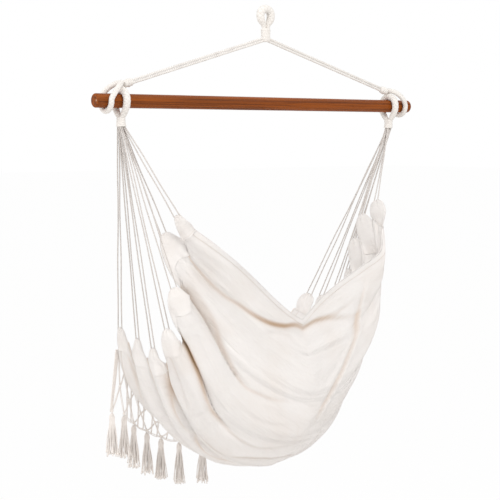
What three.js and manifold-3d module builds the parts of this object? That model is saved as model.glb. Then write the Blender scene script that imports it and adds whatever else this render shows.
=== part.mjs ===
// Hammock chair: a canvas sling seat hung by cords from a wooden spreader bar, with one eye over the bar.
// Millimetres, +Z up. The origin is the inside of the hanging eye's crown, where a hook carries the chair.
// X runs along the bar, +Y is the backrest side and -Y the fringed front edge.
import * as THREE from 'three';
import { mergeVertices } from 'three/addons/utils/BufferGeometryUtils.js';
import Module from 'manifold-3d';

const wasm = await Module();
wasm.setup();

// Clearances
const gap = 0.3; // between any two pieces that touch
const cordGap = 0.6; // round a cord that runs through a piece
const seamGap = 0.9; // between the cloth's end and a tab
const overrun = 2; // how far a cutting body passes the surface it cuts
const fineness = 0.06; // slivers below this are merged after joins and cuts

// Spreader bar and its end plugs
const barLength = 975;
const barDiameter = 32;
const barEdgeRound = 4;
const barDrop = 218; // from the eye's crown down to the bar's axis
const plugDiameter = 5;
const plugDepth = 6;
const plugOffset = 9; // from the bar's axis towards the back of the chair
const plugProud = 0.4;

// Hanging eye: one thick rope bent into a teardrop, tapering into its binding
const eyeRope = 20;
const eyeOpening = 12;
const eyeSlit = 26; // height of the opening
const eyeNeckRope = 10;
const eyeTail = 12; // length of each strand inside the binding
const bindingDiameter = 25;
const bindingLength = 33;
const bindingRound = 5;

// Two hanging cords to each side, from the binding to the knot above each end of the bar
const legCord = 6;
const legSpacing = 6.4;
const legEntry = 4; // distance from the middle at which each cord ends inside the binding
const legRise = 7.6; // above the binding's foot, where the cords' middle lines would meet

// Clew eyes, slung over the bar, and the wraps that bind each eye's neck to its cords
const clewInset = 69.5; // from the bar's end
const clewRope = 17;
const clewNeckRope = 10;
const clewStrandDrop = 47; // bar's axis to the ends of the two strands
const wrapTopDrop = 35;
const wrapBottomDrop = 57;
const wrapCupDepth = 4; // mouth that the cords come out of
const wrapWidth = 22.6;

// Rope rings outboard of the clew eyes, and the knots that tie them to the hanging cords
const ringRope = 13;
const ringInset = 30.5; // from the bar's end to where the ring passes under the bar
const knotLength = 24;
const knotDiameter = 20;
const knotEndDiameter = 12;

// Clew cords: one doubled cord to each tab, packed in rows and columns in the wrap
const clewCord = 3.3;
const cordPitch = 3.7;
const cordLoopWidth = 14; // between the two runs where they enter the tab
const cordLoopDepth = 16; // how far the bend sits inside the tab's tip
const cordLead = 9; // straight run before the tip

// Canvas sling seat, measured from the bar's axis
const canvasThickness = 2.4;
const halfSpan = 315; // middle to tab tips
const hemDrop = 519; // to the lowest point of the back hem
const seatDrop = 902; // to the lowest point of the seat
const frontDrop = 826; // to the middle of the front hem
const bellyReach = 152; // furthest back
const frontReach = 238; // middle of the front hem, furthest forward
const dipShift = 55; // the back hem dips off the middle by this
const tabReach = 190; // front tab tips, forward of the bar
const tabTopDrop = 250;
const tabLowDrop = 575;
const pleatHeight = 26;
const foldDepth = 12;
const tabCount = 7;
const tabWidth = 50;
const tabThickness = 11;

// Fringe along the front hem
const netCord = 4;
const netKnot = 8;
const netDepth = 54;
const netForward = 6; // how far in front of the hem the lower knots hang
const tasselCount = 13;
const tasselLength = 108;
const tasselHead = 15;
const tasselNeck = 10;
const tasselSkirt = 28;

// Colours
const woodColour = 0x87481f;
const plugColour = 0xc79a78;
const ropeColour = 0xf3f0ea;
const canvasColour = 0xf2ece2;
const fringeColour = 0xd8cdc2;

const chair = new THREE.Group();
chair.name = 'hammock_chair';

// Adds one named piece with its own finish.
function addPiece(name, geometry, colour, roughness = 0.9) {
  const finish = new THREE.MeshStandardMaterial({ color: colour, roughness, metalness: 0 });
  const mesh = new THREE.Mesh(geometry, finish);
  mesh.name = name;
  chair.add(mesh);
}

// Closed mesh with only merged positions, as joins and cuts need it.
function bare(geometry) {
  const copy = geometry.clone();
  copy.deleteAttribute('normal');
  copy.deleteAttribute('uv');
  return mergeVertices(copy, 1e-3);
}

function toSolid(geometry) {
  const merged = bare(geometry);
  return new wasm.Manifold(new wasm.Mesh({
    numProp: 3,
    vertProperties: merged.attributes.position.array,
    triVerts: new Uint32Array(merged.index.array),
  }));
}

function toGeometry(solid) {
  const mesh = solid.getMesh();
  const geometry = new THREE.BufferGeometry();
  geometry.setAttribute('position', new THREE.BufferAttribute(new Float32Array(mesh.vertProperties), 3));
  geometry.setIndex(new THREE.BufferAttribute(new Uint32Array(mesh.triVerts), 1));
  geometry.computeVertexNormals();
  return geometry;
}

// Geometry from points and faces, turned so that its faces point outwards.
function closedBody(points, faces) {
  let volume = 0;
  for (const [a, b, c] of faces) {
    volume += points[a].dot(new THREE.Vector3().crossVectors(points[b], points[c]));
  }
  const index = faces.flatMap(([a, b, c]) => (volume < 0 ? [a, c, b] : [a, b, c]));
  const geometry = new THREE.BufferGeometry().setFromPoints(points);
  geometry.setIndex(index);
  geometry.computeVertexNormals();
  return geometry;
}

// Closed body through rings of points, each with the same number of sides, then the middles of its two caps.
function skin(points, ringCount, sides) {
  const faces = [];
  const at = (i, j) => i * sides + (j % sides);
  const last = ringCount - 1;
  const first = points.length - 2;
  for (let j = 0; j < sides; j++) {
    for (let i = 0; i < last; i++) {
      faces.push([at(i, j), at(i + 1, j), at(i + 1, j + 1)], [at(i, j), at(i + 1, j + 1), at(i, j + 1)]);
    }
    faces.push([first, at(0, j), at(0, j + 1)], [first + 1, at(last, j + 1), at(last, j)]);
  }
  return closedBody(points, faces);
}

// A curve stepped evenly from point to point, so that close points give a fine bend.
class Route extends THREE.CatmullRomCurve3 {
  getPointAt(share, target) {
    return this.getPoint(share, target);
  }

  getTangentAt(share, target) {
    return this.getTangent(share, target);
  }

  getSpacedPoints(steps) {
    return this.getPoints(steps);
  }
}

function polygon(radius, sides) {
  const shape = new THREE.Shape();
  for (let i = 0; i < sides; i++) {
    const turn = (2 * Math.PI * i) / sides;
    const corner = [radius * Math.cos(turn), radius * Math.sin(turn)];
    if (i === 0) shape.moveTo(...corner);
    else shape.lineTo(...corner);
  }
  shape.closePath();
  return shape;
}

// Round cord along a route of points, with two steps from each point to the next.
function cord(points, diameter, sides, stepsEach = 2) {
  const route = new Route(points, false, 'centripetal');
  return new THREE.ExtrudeGeometry(polygon(diameter / 2, sides), {
    steps: stepsEach * (points.length - 1),
    bevelEnabled: false,
    extrudePath: route,
  });
}

// Rope along a route whose thickness changes: radii[i] at points[i], capped at both ends.
// Allowance is how much thicker it is all round, and longer at each end, as a socket for it is.
function taperedRope(points, radii, allowance = 0) {
  const sides = 10;
  const steps = 2 * (points.length - 1);
  const route = new Route(points, false, 'centripetal');
  const frames = route.computeFrenetFrames(steps, false);
  const middles = [];
  const rings = [];
  for (let i = 0; i <= steps; i++) {
    const at = (i / steps) * (points.length - 1);
    const from = Math.min(Math.floor(at), points.length - 2);
    const radius = THREE.MathUtils.lerp(radii[from], radii[from + 1], at - from) + allowance;
    const end = Number(i === steps) - Number(i === 0);
    const middle = route.getPoint(i / steps).addScaledVector(frames.tangents[i], end * allowance);
    middles.push(middle);
    for (let j = 0; j < sides; j++) {
      const turn = (2 * Math.PI * j) / sides;
      rings.push(middle.clone()
        .addScaledVector(frames.normals[i], radius * Math.cos(turn))
        .addScaledVector(frames.binormals[i], radius * Math.sin(turn)));
    }
  }
  return skin([...rings, middles[0], middles[steps]], steps + 1, sides);
}

// Turned body about +Z from outline points given as [radius, height].
function turned(outline, segments) {
  return new THREE.LatheGeometry(outline.map(([r, z]) => new THREE.Vector2(r, z)), segments)
    .rotateX(Math.PI / 2);
}

// Cubic through values at rising knots, for numbers.
function along(knots, values, t) {
  const last = knots.length - 1;
  let i = 0;
  while (i < last - 1 && t > knots[i + 1]) i++;
  const slope = (k) => {
    const a = Math.max(k - 1, 0);
    const b = Math.min(k + 1, last);
    return (values[b] - values[a]) / (knots[b] - knots[a]);
  };
  const run = knots[i + 1] - knots[i];
  const s = THREE.MathUtils.clamp((t - knots[i]) / run, 0, 1);
  return values[i] * (1 + 2 * s) * (1 - s) ** 2 + values[i + 1] * s * s * (3 - 2 * s)
    + run * (slope(i) * s * (1 - s) ** 2 + slope(i + 1) * s * s * (s - 1));
}

// Spreader bar, a turned rod with rounded ends and a plugged hole in each end face
function outlineOfBar() {
  const radius = barDiameter / 2;
  const end = barLength / 2;
  const corner = [];
  const cornerSteps = 2;
  for (let i = 0; i <= cornerSteps; i++) {
    const turn = (Math.PI / 2) * (i / cornerSteps);
    corner.push([
      radius - barEdgeRound + barEdgeRound * Math.cos(turn),
      end - barEdgeRound + barEdgeRound * Math.sin(turn),
    ]);
  }
  const upper = [...corner, [0, end]];
  const lower = upper.map(([r, z]) => [r, -z]).reverse();
  return [...lower, ...upper];
}

function makeBar() {
  let bar = toSolid(turned(outlineOfBar(), 28).rotateY(Math.PI / 2).translate(0, 0, -barDrop));
  for (const [side, word] of [[1, 'left'], [-1, 'right']]) {
    const hole = new THREE.CylinderGeometry(
      plugDiameter / 2 + gap, plugDiameter / 2 + gap, plugDepth + overrun, 12);
    hole.rotateZ(Math.PI / 2);
    hole.translate(side * (barLength / 2 - (plugDepth - overrun) / 2), plugOffset, -barDrop);
    bar = bar.subtract(toSolid(hole));
    const length = plugDepth - gap + plugProud;
    const plug = new THREE.CylinderGeometry(plugDiameter / 2, plugDiameter / 2, length, 12);
    plug.rotateZ(Math.PI / 2);
    plug.translate(side * (barLength / 2 + plugProud - length / 2), plugOffset, -barDrop);
    addPiece(`end_plug_${word}`, plug, plugColour, 0.6);
  }
  addPiece('spreader_bar', toGeometry(bar), woodColour, 0.45);
}

// Hanging eye and the binding that holds its neck and the four hanging cords
const eyeMiddle = (eyeOpening + eyeRope) / 2;
const bindingTop = -(eyeSlit + eyeRope / 2);
const bindingBottom = bindingTop - bindingLength;
const bindingWaistShare = 0.93; // of the binding's diameter, halfway down it
// From the neck up one side to near the crown: out from the neck's line to the opening's middle line,
// up the slit, then up the rope's thickness at the crown, and the rope's thickness on the way.
const eyeFlareShares = [0.25, 0.75, 1];
const eyeSlitShares = [0.98, 0.66, 0.28];
const eyeShoulderShares = [[0.9, 0.1], [0.5, 0.41]];
const eyeSwellShares = [0.72, 0.94, 1, 1, 1];

function eyeRoute() {
  const neck = eyeNeckRope / 2 + gap;
  const half = [[neck, bindingTop - eyeTail], [neck, bindingTop]];
  eyeFlareShares.forEach((share, i) => {
    half.push([THREE.MathUtils.lerp(neck, eyeMiddle, share), -eyeSlitShares[i] * eyeSlit]);
  });
  for (const [x, z] of eyeShoulderShares) half.push([x * eyeMiddle, z * eyeRope]);
  const other = half.map(([x, z]) => [-x, z]).reverse();
  return [...half, [0, eyeRope / 2], ...other].map(([x, z]) => new THREE.Vector3(x, 0, z));
}

// Radii along a looped rope that starts and ends thin: two points of each neck, then its swell.
function loopRadii(thin, thick, swellShares) {
  const half = [thin / 2, thin / 2, ...swellShares.map((share) => (share * thick) / 2)];
  return [...half, thick / 2, ...[...half].reverse()];
}

function makeEye() {
  const radii = loopRadii(eyeNeckRope, eyeRope, eyeSwellShares);
  addPiece('hanging_eye', taperedRope(eyeRoute(), radii), ropeColour);

  const r = bindingDiameter / 2;
  const outline = [
    [0, bindingBottom],
    [r - bindingRound, bindingBottom],
    [r, bindingBottom + bindingRound],
    [bindingWaistShare * r, (bindingBottom + bindingTop) / 2],
    [r, bindingTop - bindingRound],
    [r - bindingRound, bindingTop],
    [0, bindingTop],
  ];
  let binding = toSolid(turned(outline, 16));
  binding = binding.subtract(toSolid(taperedRope(eyeRoute(), radii, gap)));
  for (const side of [1, -1]) {
    for (const row of [1, -1]) {
      const [start, end] = legEnds(side, row);
      const inward = new THREE.Vector3().subVectors(start, end).setLength(gap);
      const outward = inward.clone().setLength(-bindingDiameter);
      const bore = [start.clone().add(inward), start.clone().add(outward)];
      binding = binding.subtract(toSolid(cord(bore, legCord + 2 * gap, 8, 1)));
    }
  }
  addPiece('eye_binding', toGeometry(binding), ropeColour);
}

// Knots above the bar's ends: the hanging cords reach them from the binding
const clewPlace = barLength / 2 - clewInset;
const ringPlace = barLength / 2 - ringInset;
const knotPlace = clewPlace - ringRope / 2 - 4 * gap - knotLength / 2;
const ringTop = barDiameter / 2 + clewRope + 4 * gap + ringRope / 2; // above the bar's axis
const ringRoundShare = 0.15; // roundness of the ring where it crosses over the clew eye
const knotSwellShare = 0.7; // of the knot's swelling that is one round belly, the rest being its wraps
const legSlope = Math.atan2(barDrop - ringTop + bindingBottom + legRise, knotPlace);

function knotCentre(side) {
  return new THREE.Vector3(side * knotPlace, 0, ringTop - barDrop);
}

function legEnds(side, row) {
  const knot = knotCentre(side);
  const top = new THREE.Vector3(0, 0, bindingBottom + legRise);
  const run = new THREE.Vector3().subVectors(knot, top);
  const reach = run.length();
  run.normalize();
  const up = new THREE.Vector3(-side * run.z, 0, side * run.x).multiplyScalar((row * legSpacing) / 2);
  const start = top.clone().addScaledVector(run, legEntry).add(up);
  const end = top.clone().addScaledVector(run, reach - knotLength / 2 - gap).add(up);
  return [start, end];
}

function makeLegs() {
  for (const [side, word] of [[1, 'left'], [-1, 'right']]) {
    for (const [row, place] of [[1, 'upper'], [-1, 'lower']]) {
      const [start, end] = legEnds(side, row);
      const route = [0, 1 / 3, 2 / 3, 1].map((share) => start.clone().lerp(end, share));
      addPiece(`hanging_cord_${word}_${place}`, cord(route, legCord, 8, 1), ropeColour);
    }
    addPiece(`ring_knot_${word}`, knotBody(side), ropeColour);
    addPiece(`rope_ring_${word}`, ringBody(side), ropeColour);
  }
}

// Knot of three wraps, lying along the hanging cords
function knotBody(side) {
  const wraps = 3;
  const outline = [[0, -knotLength / 2]];
  for (let i = 0; i <= 2 * wraps; i++) {
    const share = i / (2 * wraps);
    const belly = Math.sin(Math.PI * share);
    const wrap = Math.abs(Math.sin(Math.PI * wraps * share));
    const swell = THREE.MathUtils.lerp(wrap, belly, knotSwellShare);
    const radius = THREE.MathUtils.lerp(knotEndDiameter, knotDiameter, swell) / 2;
    outline.push([radius, knotLength * (share - 0.5)]);
  }
  outline.push([0, knotLength / 2]);
  const body = turned(outline, 10);
  body.rotateY(side * (Math.PI / 2 + legSlope));
  return body.translate(...knotCentre(side).toArray());
}

// Ring: tight over the clew eye at the top, then outboard and round under the bar
class RingRoute extends THREE.Curve {
  constructor(side) {
    super();
    this.side = side;
  }

  getPoint(share, target = new THREE.Vector3()) {
    const turn = 2 * Math.PI * share;
    const upper = Math.cos(turn) > 0;
    const sine = upper ? Math.sin(turn) : 1;
    const lift = upper ? Math.cos(turn) ** 2 : 0;
    const c = ringRoundShare;
    const out = (Math.hypot(sine, c) - c) / (Math.hypot(1, c) - c);
    const radius = THREE.MathUtils.lerp(barDiameter / 2 + ringRope / 2 + 2 * gap, ringTop, lift);
    const x = THREE.MathUtils.lerp(clewPlace, ringPlace, out);
    return target.set(this.side * x, radius * Math.sin(turn), radius * Math.cos(turn) - barDrop);
  }
}

function ringBody(side) {
  return new THREE.TubeGeometry(new RingRoute(side), 26, ringRope / 2, 10, true);
}

// Closed body through oval rings given as { x, y, z, rx, ry }
function loft(rings, sides) {
  const points = [];
  for (const ring of rings) {
    for (let j = 0; j < sides; j++) {
      const turn = (2 * Math.PI * j) / sides;
      const x = ring.x + ring.rx * Math.cos(turn);
      points.push(new THREE.Vector3(x, ring.y + ring.ry * Math.sin(turn), ring.z));
    }
  }
  for (const ring of [rings[0], rings[rings.length - 1]]) {
    points.push(new THREE.Vector3(ring.x, ring.y, ring.z));
  }
  return skin(points, rings.length, sides);
}

// Clew eye: a thick loop slung over the bar, whose two strands run down into the wrap.
// Its sides as [half turns from the top, shares of the radius at which it lies on the bar].
const clewNarrowShares = [0.45, 1.22]; // where the strands draw together: out and down, of that radius
const clewSideShares = [[0.74, 1.09], [0.6, 1.03], [0.42, 1.02], [0.22, 1.02]];
const clewTopShare = 1.02;
const clewSwellShares = [0.84, 0.95, 1, 1, 1];
const clewNeckShare = 0.14; // of the wrap's length that each strand runs straight above its end
// Wrap's rings: [share of the way down, shares of half its width along the bar and across it]
const wrapShares = [[0, 0.66, 1.05], [0.12, 0.76, 1.16], [0.5, 0.84, 1.08], [0.85, 1, 1], [1, 1.07, 1.07]];
const cupShares = [0.87, 0.99]; // of half the wrap's width, at the mouth's bottom and past its rim
const wrapLeanShare = 0.03; // of the wrap's width, by which its mouth leans inboard

function clewRoute(side) {
  const round = barDiameter / 2 + gap + clewRope / 2;
  const neck = clewNeckRope / 2 + gap;
  const [narrowOut, narrowDown] = clewNarrowShares;
  const straight = wrapTopDrop + clewNeckShare * (wrapBottomDrop - wrapTopDrop);
  const half = [[neck, -clewStrandDrop], [neck, -straight], [narrowOut * round, -narrowDown * round]];
  for (const [turn, out] of clewSideShares) {
    half.push([out * round * Math.sin(Math.PI * turn), out * round * Math.cos(Math.PI * turn)]);
  }
  const other = half.map(([y, z]) => [-y, z]).reverse();
  return [...half, [0, clewTopShare * round], ...other]
    .map(([y, z]) => new THREE.Vector3(side * clewPlace, y, z - barDrop));
}

function makeClews() {
  const half = wrapWidth / 2;
  const radii = loopRadii(clewNeckRope, clewRope, clewSwellShares);
  for (const [side, word] of [[1, 'left'], [-1, 'right']]) {
    addPiece(`clew_eye_${word}`, taperedRope(clewRoute(side), radii), ropeColour);
    const ring = (drop, lean, sx, sy) => ({
      x: side * (clewPlace - lean * wrapWidth), y: 0, z: -drop - barDrop, rx: sx * half, ry: sy * half,
    });
    const body = loft(wrapShares.map(([share, sx, sy]) => {
      const drop = THREE.MathUtils.lerp(wrapTopDrop, wrapBottomDrop, share);
      return ring(drop, wrapLeanShare * smooth(0.5, 1, share), sx, sy);
    }), 20);
    const cup = loft([
      ring(wrapBottomDrop - wrapCupDepth, 0, cupShares[0], cupShares[0]),
      ring(wrapBottomDrop + overrun, wrapLeanShare, cupShares[1], cupShares[1]),
    ], 20);
    const wrap = toSolid(body)
      .subtract(toSolid(taperedRope(clewRoute(side), radii, gap)))
      .subtract(toSolid(cup));
    addPiece(`clew_wrap_${word}`, toGeometry(wrap), ropeColour);
  }
}

// Sling seat as a surface: u runs from the right tabs (-1) over the middle (0) to the left tabs (+1),
// v from the back hem (0) under the sitter to the front hem (1).
// Middle of the seat: reach as a share of belly (+) or front (-) reach, drop as a share from hem to lowest.
const middleReachShares = [0.776, 0.895, 0.987, 0.987, 0.895, 0.69, 0.395, 0, -0.273, -0.546, -0.79, -1];
const middleDropShares = [0, 0.16, 0.355, 0.52, 0.675, 0.815, 0.918, 0.985, 1, 0.964, 0.892];
// Tab tips from back to front: reach as a share of the tab reach, drop from top tab (0) to lowest tab (1).
const tipReachShares = {
  left: [0.35, 0.08, 0.29, 0.14, -0.16, -0.5, -0.9],
  right: [0.33, 0.03, -0.115, -0.22, -0.45, -0.765, -1.03],
};
const tipDropShares = {
  left: [0.02, 0.155, 0.53, 0.83, 0.99, 0.945, 0.89],
  right: [-0.03, 0.09, 0.29, 0.54, 0.68, 0.785, 0.79],
};
const edgeShare = 0.03; // of the way round at which the first and last tabs sit
const bellyShares = [0, 0.12, 0.2, 0.42]; // of the way round, where the right end's belly comes and goes
const frontShare = 0.8; // of the way round, past which the right end hangs straight
const backShare = 0.45; // of the way round over which the back hem's straight lines fade
const dipShare = 0.6; // of the way round over which the dip's sideways shift fades
const dipRoundShare = 0.15; // roundness of the hem's dip
const rightRoundShare = 0.75; // power by which the right end bulges out more than the left
const rightBellyShare = 2.2; // power by which it hangs lower over its belly
const seamShare = 0.87; // where the tabs are sewn on, from middle to tip
const scallopShare = 0.04; // how much further in the cloth ends between two tabs

const middleDrops = [
  ...middleDropShares.map((share) => hemDrop + share * (seatDrop - hemDrop)),
  frontDrop,
];
const middleReaches = middleReachShares.map((share) => share * (share > 0 ? bellyReach : frontReach));
const middleKnots = [0];
for (let i = 1; i < middleDrops.length; i++) {
  middleKnots.push(middleKnots[i - 1]
    + Math.hypot(middleDrops[i] - middleDrops[i - 1], middleReaches[i] - middleReaches[i - 1]));
}
const wayRound = middleKnots[middleKnots.length - 1];

const tabPitch = (1 - 2 * edgeShare) / (tabCount - 1);
const tabPlaces = Array.from({ length: tabCount }, (_, k) => edgeShare + k * tabPitch);
const runOnShares = [0.08, 0.1]; // how far the tips' line runs on past the first and last tab, of a step

function tipLine(word, v) {
  const knots = [0, ...tabPlaces, 1];
  const ends = (list) => {
    const before = THREE.MathUtils.lerp(list[0], list[1], -runOnShares[0]);
    const after = THREE.MathUtils.lerp(list[tabCount - 1], list[tabCount - 2], -runOnShares[1]);
    return [before, ...list, after];
  };
  const reaches = ends(tipReachShares[word].map((share) => share * tabReach));
  const drops = ends(tipDropShares[word].map((share) => tabTopDrop + share * (tabLowDrop - tabTopDrop)));
  return [along(knots, reaches, v), along(knots, drops, v)];
}

function smooth(from, to, value) {
  return THREE.MathUtils.smoothstep(value, from, to);
}

function slingPoint(u, v) {
  const word = u >= 0 ? 'left' : 'right';
  const side = u >= 0 ? 1 : -1;
  const out = Math.abs(u);
  const back = Math.max(0, 1 - v / backShare);
  const round = Math.sin((Math.PI / 2) * out);
  const hang = 1 - Math.cos((Math.PI / 2) * out);
  const c = dipRoundShare;
  const straight = (Math.hypot(out, c) - c) / (Math.hypot(1, c) - c);
  let x = round;
  let rise = THREE.MathUtils.lerp(hang, straight, back);
  if (u >= 0) {
    x = THREE.MathUtils.lerp(round, out, back);
  } else {
    const [from, full, fade, to] = bellyShares;
    const belly = smooth(from, full, v) * (1 - smooth(fade, to, v));
    const front = smooth(frontShare, 1, v);
    x = THREE.MathUtils.lerp(round, round ** rightRoundShare, back);
    x = THREE.MathUtils.lerp(x, out, front);
    rise = THREE.MathUtils.lerp(rise, out ** rightBellyShare, belly);
    rise = THREE.MathUtils.lerp(rise, out, front);
  }
  const middleX = -dipShift * Math.max(0, 1 - v / dipShare);
  const [tipReach, tipDrop] = tipLine(word, v);
  const reach = along(middleKnots, middleReaches, v * wayRound);
  const drop = along(middleKnots, middleDrops, v * wayRound);
  return new THREE.Vector3(
    THREE.MathUtils.lerp(middleX, side * halfSpan, x),
    THREE.MathUtils.lerp(reach, tipReach, rise),
    -THREE.MathUtils.lerp(drop, tipDrop, rise) - barDrop,
  );
}

// Unit normal of the sling, pointing away from the sitter, from points a small step apart.
function slingNormal(u, v) {
  const step = 0.004;
  const clampU = (value) => THREE.MathUtils.clamp(value, -1, 1);
  const clampV = (value) => THREE.MathUtils.clamp(value, 0, 1);
  const across = slingPoint(clampU(u + step), v).sub(slingPoint(clampU(u - step), v));
  const round = slingPoint(u, clampV(v + step)).sub(slingPoint(u, clampV(v - step)));
  return across.cross(round).normalize();
}

// Distance from the nearest tab line, from -0.5 to 0.5 of the pitch between tabs.
function fromTab(v) {
  const place = (v - tabPlaces[0]) / tabPitch;
  const nearest = Math.round(THREE.MathUtils.clamp(place, 0, tabCount - 1));
  return THREE.MathUtils.clamp(place - nearest, -0.5, 0.5);
}

// Pleats: round lobes behind the tabs that fade towards the middle, with two long folds that run on.
// The lobes stand out at the back hem and are drawn in further on, as shares of the pleats' height.
const drawInShares = { from: 0.35, to: 1.05, start: 0.05, end: 0.45 };
const swellShares = [0.15, 0.75, 0.9, 1]; // of the way out, where the lobes begin, are full, fade and end
const hemFoldShares = { middle: 0.035, climb: 0.075, shift: 0.05, width: 0.02 };
const lowFoldShares = { middle: 0.66, climb: -0.16, shift: 0, width: 0.025 };

function groove(u, v, fold) {
  const at = fold.middle + fold.climb * smooth(0, swellShares[2], Math.abs(u + fold.shift));
  return Math.exp(-(((v - at) / fold.width) ** 2));
}

function pleat(u, v) {
  const out = Math.abs(u);
  const { from, to, start, end } = drawInShares;
  const lobe = Math.sqrt(1 - (2 * fromTab(v)) ** 2) - THREE.MathUtils.lerp(from, to, smooth(start, end, v));
  const [begin, full, fade, last] = swellShares;
  const swell = smooth(begin, full, out) * (1 - smooth(fade, last, out));
  const folds = groove(u, v, hemFoldShares) + groove(u, v, lowFoldShares);
  return pleatHeight * lobe * swell - foldDepth * (1 - smooth(fade, last, out)) * folds;
}

function clothPoint(u, v, side) {
  const shift = pleat(u, v) + (side * canvasThickness) / 2;
  return slingPoint(u, v).addScaledVector(slingNormal(u, v), shift);
}

// Closed body between two grids of points: place(i, j, side) gives a point of either face.
function slab(columns, rows, place) {
  const points = [];
  for (const side of [1, -1]) {
    for (let i = 0; i <= columns; i++) {
      for (let j = 0; j <= rows; j++) points.push(place(i, j, side));
    }
  }
  const half = (columns + 1) * (rows + 1);
  const at = (i, j, face) => face * half + i * (rows + 1) + j;
  const faces = [];
  for (let i = 0; i < columns; i++) {
    for (let j = 0; j < rows; j++) {
      faces.push([at(i, j, 0), at(i + 1, j, 0), at(i + 1, j + 1, 0)]);
      faces.push([at(i, j, 0), at(i + 1, j + 1, 0), at(i, j + 1, 0)]);
      faces.push([at(i, j, 1), at(i + 1, j + 1, 1), at(i + 1, j, 1)]);
      faces.push([at(i, j, 1), at(i, j + 1, 1), at(i + 1, j + 1, 1)]);
    }
  }
  const rim = [];
  for (let i = 0; i < columns; i++) rim.push([i, 0, i + 1, 0]);
  for (let j = 0; j < rows; j++) rim.push([columns, j, columns, j + 1]);
  for (let i = columns; i > 0; i--) rim.push([i, rows, i - 1, rows]);
  for (let j = rows; j > 0; j--) rim.push([0, j, 0, j - 1]);
  for (const [i, j, k, l] of rim) {
    faces.push([at(k, l, 0), at(i, j, 0), at(i, j, 1)], [at(k, l, 0), at(i, j, 1), at(k, l, 1)]);
  }
  return closedBody(points, faces);
}

// Rows of the cloth from hem to hem: each tab line, the sides of its pleat, and the valleys between
const pleatSideShare = 0.34;
const clothRows = [0];
for (let k = 0; k < tabCount; k++) {
  for (const share of [-pleatSideShare, 0, pleatSideShare, 0.5]) {
    const v = tabPlaces[k] + share * tabPitch;
    if (v > 0 && v < 1) clothRows.push(v);
  }
}
clothRows.push(1);
const columnCount = 20;
const columnCrowdShare = 0.85; // columns crowd towards the ends

// How far out the cloth ends, as a share from middle to tips: square across each tab, further in between.
function clothEnd(side, v) {
  const place = THREE.MathUtils.clamp(Math.round((v - tabPlaces[0]) / tabPitch), 0, tabCount - 1);
  const centre = tabPlaces[place];
  const valley = smooth(pleatSideShare, 0.5, Math.abs(v - centre) / tabPitch);
  const outward = slingPoint(side, centre).sub(slingPoint(side * seamShare, centre));
  const perShare = outward.length() / (1 - seamShare);
  const step = 0.25 * tabPitch;
  const low = Math.max(centre - step, 0);
  const high = Math.min(centre + step, 1);
  const round = slingPoint(side * seamShare, high).sub(slingPoint(side * seamShare, low));
  const slant = -round.dot(outward.normalize()) / (high - low) / perShare;
  return seamShare + slant * (v - centre) * (1 - valley) - scallopShare * valley;
}

function clothNode(i, j, side) {
  const v = clothRows[j];
  const t = (2 * i) / columnCount - 1;
  const way = t < 0 ? -1 : 1;
  return clothPoint(clothEnd(way, v) * way * Math.abs(t) ** columnCrowdShare, v, side);
}

// Point on the cloth's end edge, along the straight runs between its rows.
function seamPoint(word, v, side) {
  const i = word === 'left' ? columnCount : 0;
  let j = 0;
  while (j < clothRows.length - 2 && v > clothRows[j + 1]) j++;
  const share = (v - clothRows[j]) / (clothRows[j + 1] - clothRows[j]);
  return clothNode(i, j, side).lerp(clothNode(i, j + 1, side), share);
}

// Where a tab's seam ends on the back (-1) or front (+1) side of its tab line
function tabEdge(k, way) {
  return THREE.MathUtils.clamp(tabPlaces[k] + way * pleatSideShare * tabPitch, 0, 1);
}

// Frame of a tab: its tip, the way it points, the way across it and the way out through its face.
function tabFrame(word, k) {
  const side = word === 'left' ? 1 : -1;
  const v = tabPlaces[k];
  const tip = slingPoint(side, v);
  const seam = seamPoint(word, v, 0);
  const axis = new THREE.Vector3().subVectors(tip, seam);
  const length = axis.length();
  axis.normalize();
  const across = seamPoint(word, tabEdge(k, 1), 0).sub(seamPoint(word, tabEdge(k, -1), 0));
  across.addScaledVector(axis, -across.dot(axis)).normalize();
  if (across.y > 0) across.negate();
  const face = new THREE.Vector3().crossVectors(axis, across).normalize();
  if (face.dot(slingNormal(side, v)) < 0) face.negate();
  return { tip, seam, axis, across, face, length, v };
}

// Tab: the cloth's width at the seam, narrowing to a padded tongue with a round tip
const tabLengthShares = [0, 0.2, 0.42, 0.64, 0.82, 0.93, 1];
const tabWidthShares = [1, 1, 1, 1, 0.94, 0.74, 0.4];
const tabRowShares = [-1, -0.7, 0, 0.7, 1];
const tabPadShares = [0.25, 0.45, 0.75, 1, 1, 0.88, 0.5];
const tabRimShare = 0.25; // of the padding's thickness that is left at the tab's sides

function tabBody(word, k) {
  const frame = tabFrame(word, k);
  const low = tabEdge(k, -1);
  const high = tabEdge(k, 1);
  const seamRows = [low, (low + frame.v) / 2, frame.v, (frame.v + high) / 2, high];
  const wayAcross = seamPoint(word, high, 0).sub(seamPoint(word, low, 0)).dot(frame.across) > 0 ? 1 : -1;
  return slab(tabLengthShares.length - 1, 4, (i, j, side) => {
    const share = tabLengthShares[i];
    const across = tabRowShares[j];
    const out = THREE.MathUtils.lerp(seamGap, frame.length, share);
    const start = seamPoint(word, seamRows[j], side).addScaledVector(frame.axis, out);
    const flat = 1 - (1 - tabRimShare) * Math.abs(across) ** 2.5;
    const pad = (tabThickness / 2) * tabPadShares[i] * flat;
    const tongue = frame.seam.clone()
      .addScaledVector(frame.axis, out)
      .addScaledVector(frame.across, (wayAcross * across * tabWidth * tabWidthShares[i]) / 2)
      .addScaledVector(frame.face, side * pad);
    return start.lerp(tongue, smooth(0, 0.5, share));
  });
}

const bendStepCount = 4;

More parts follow.
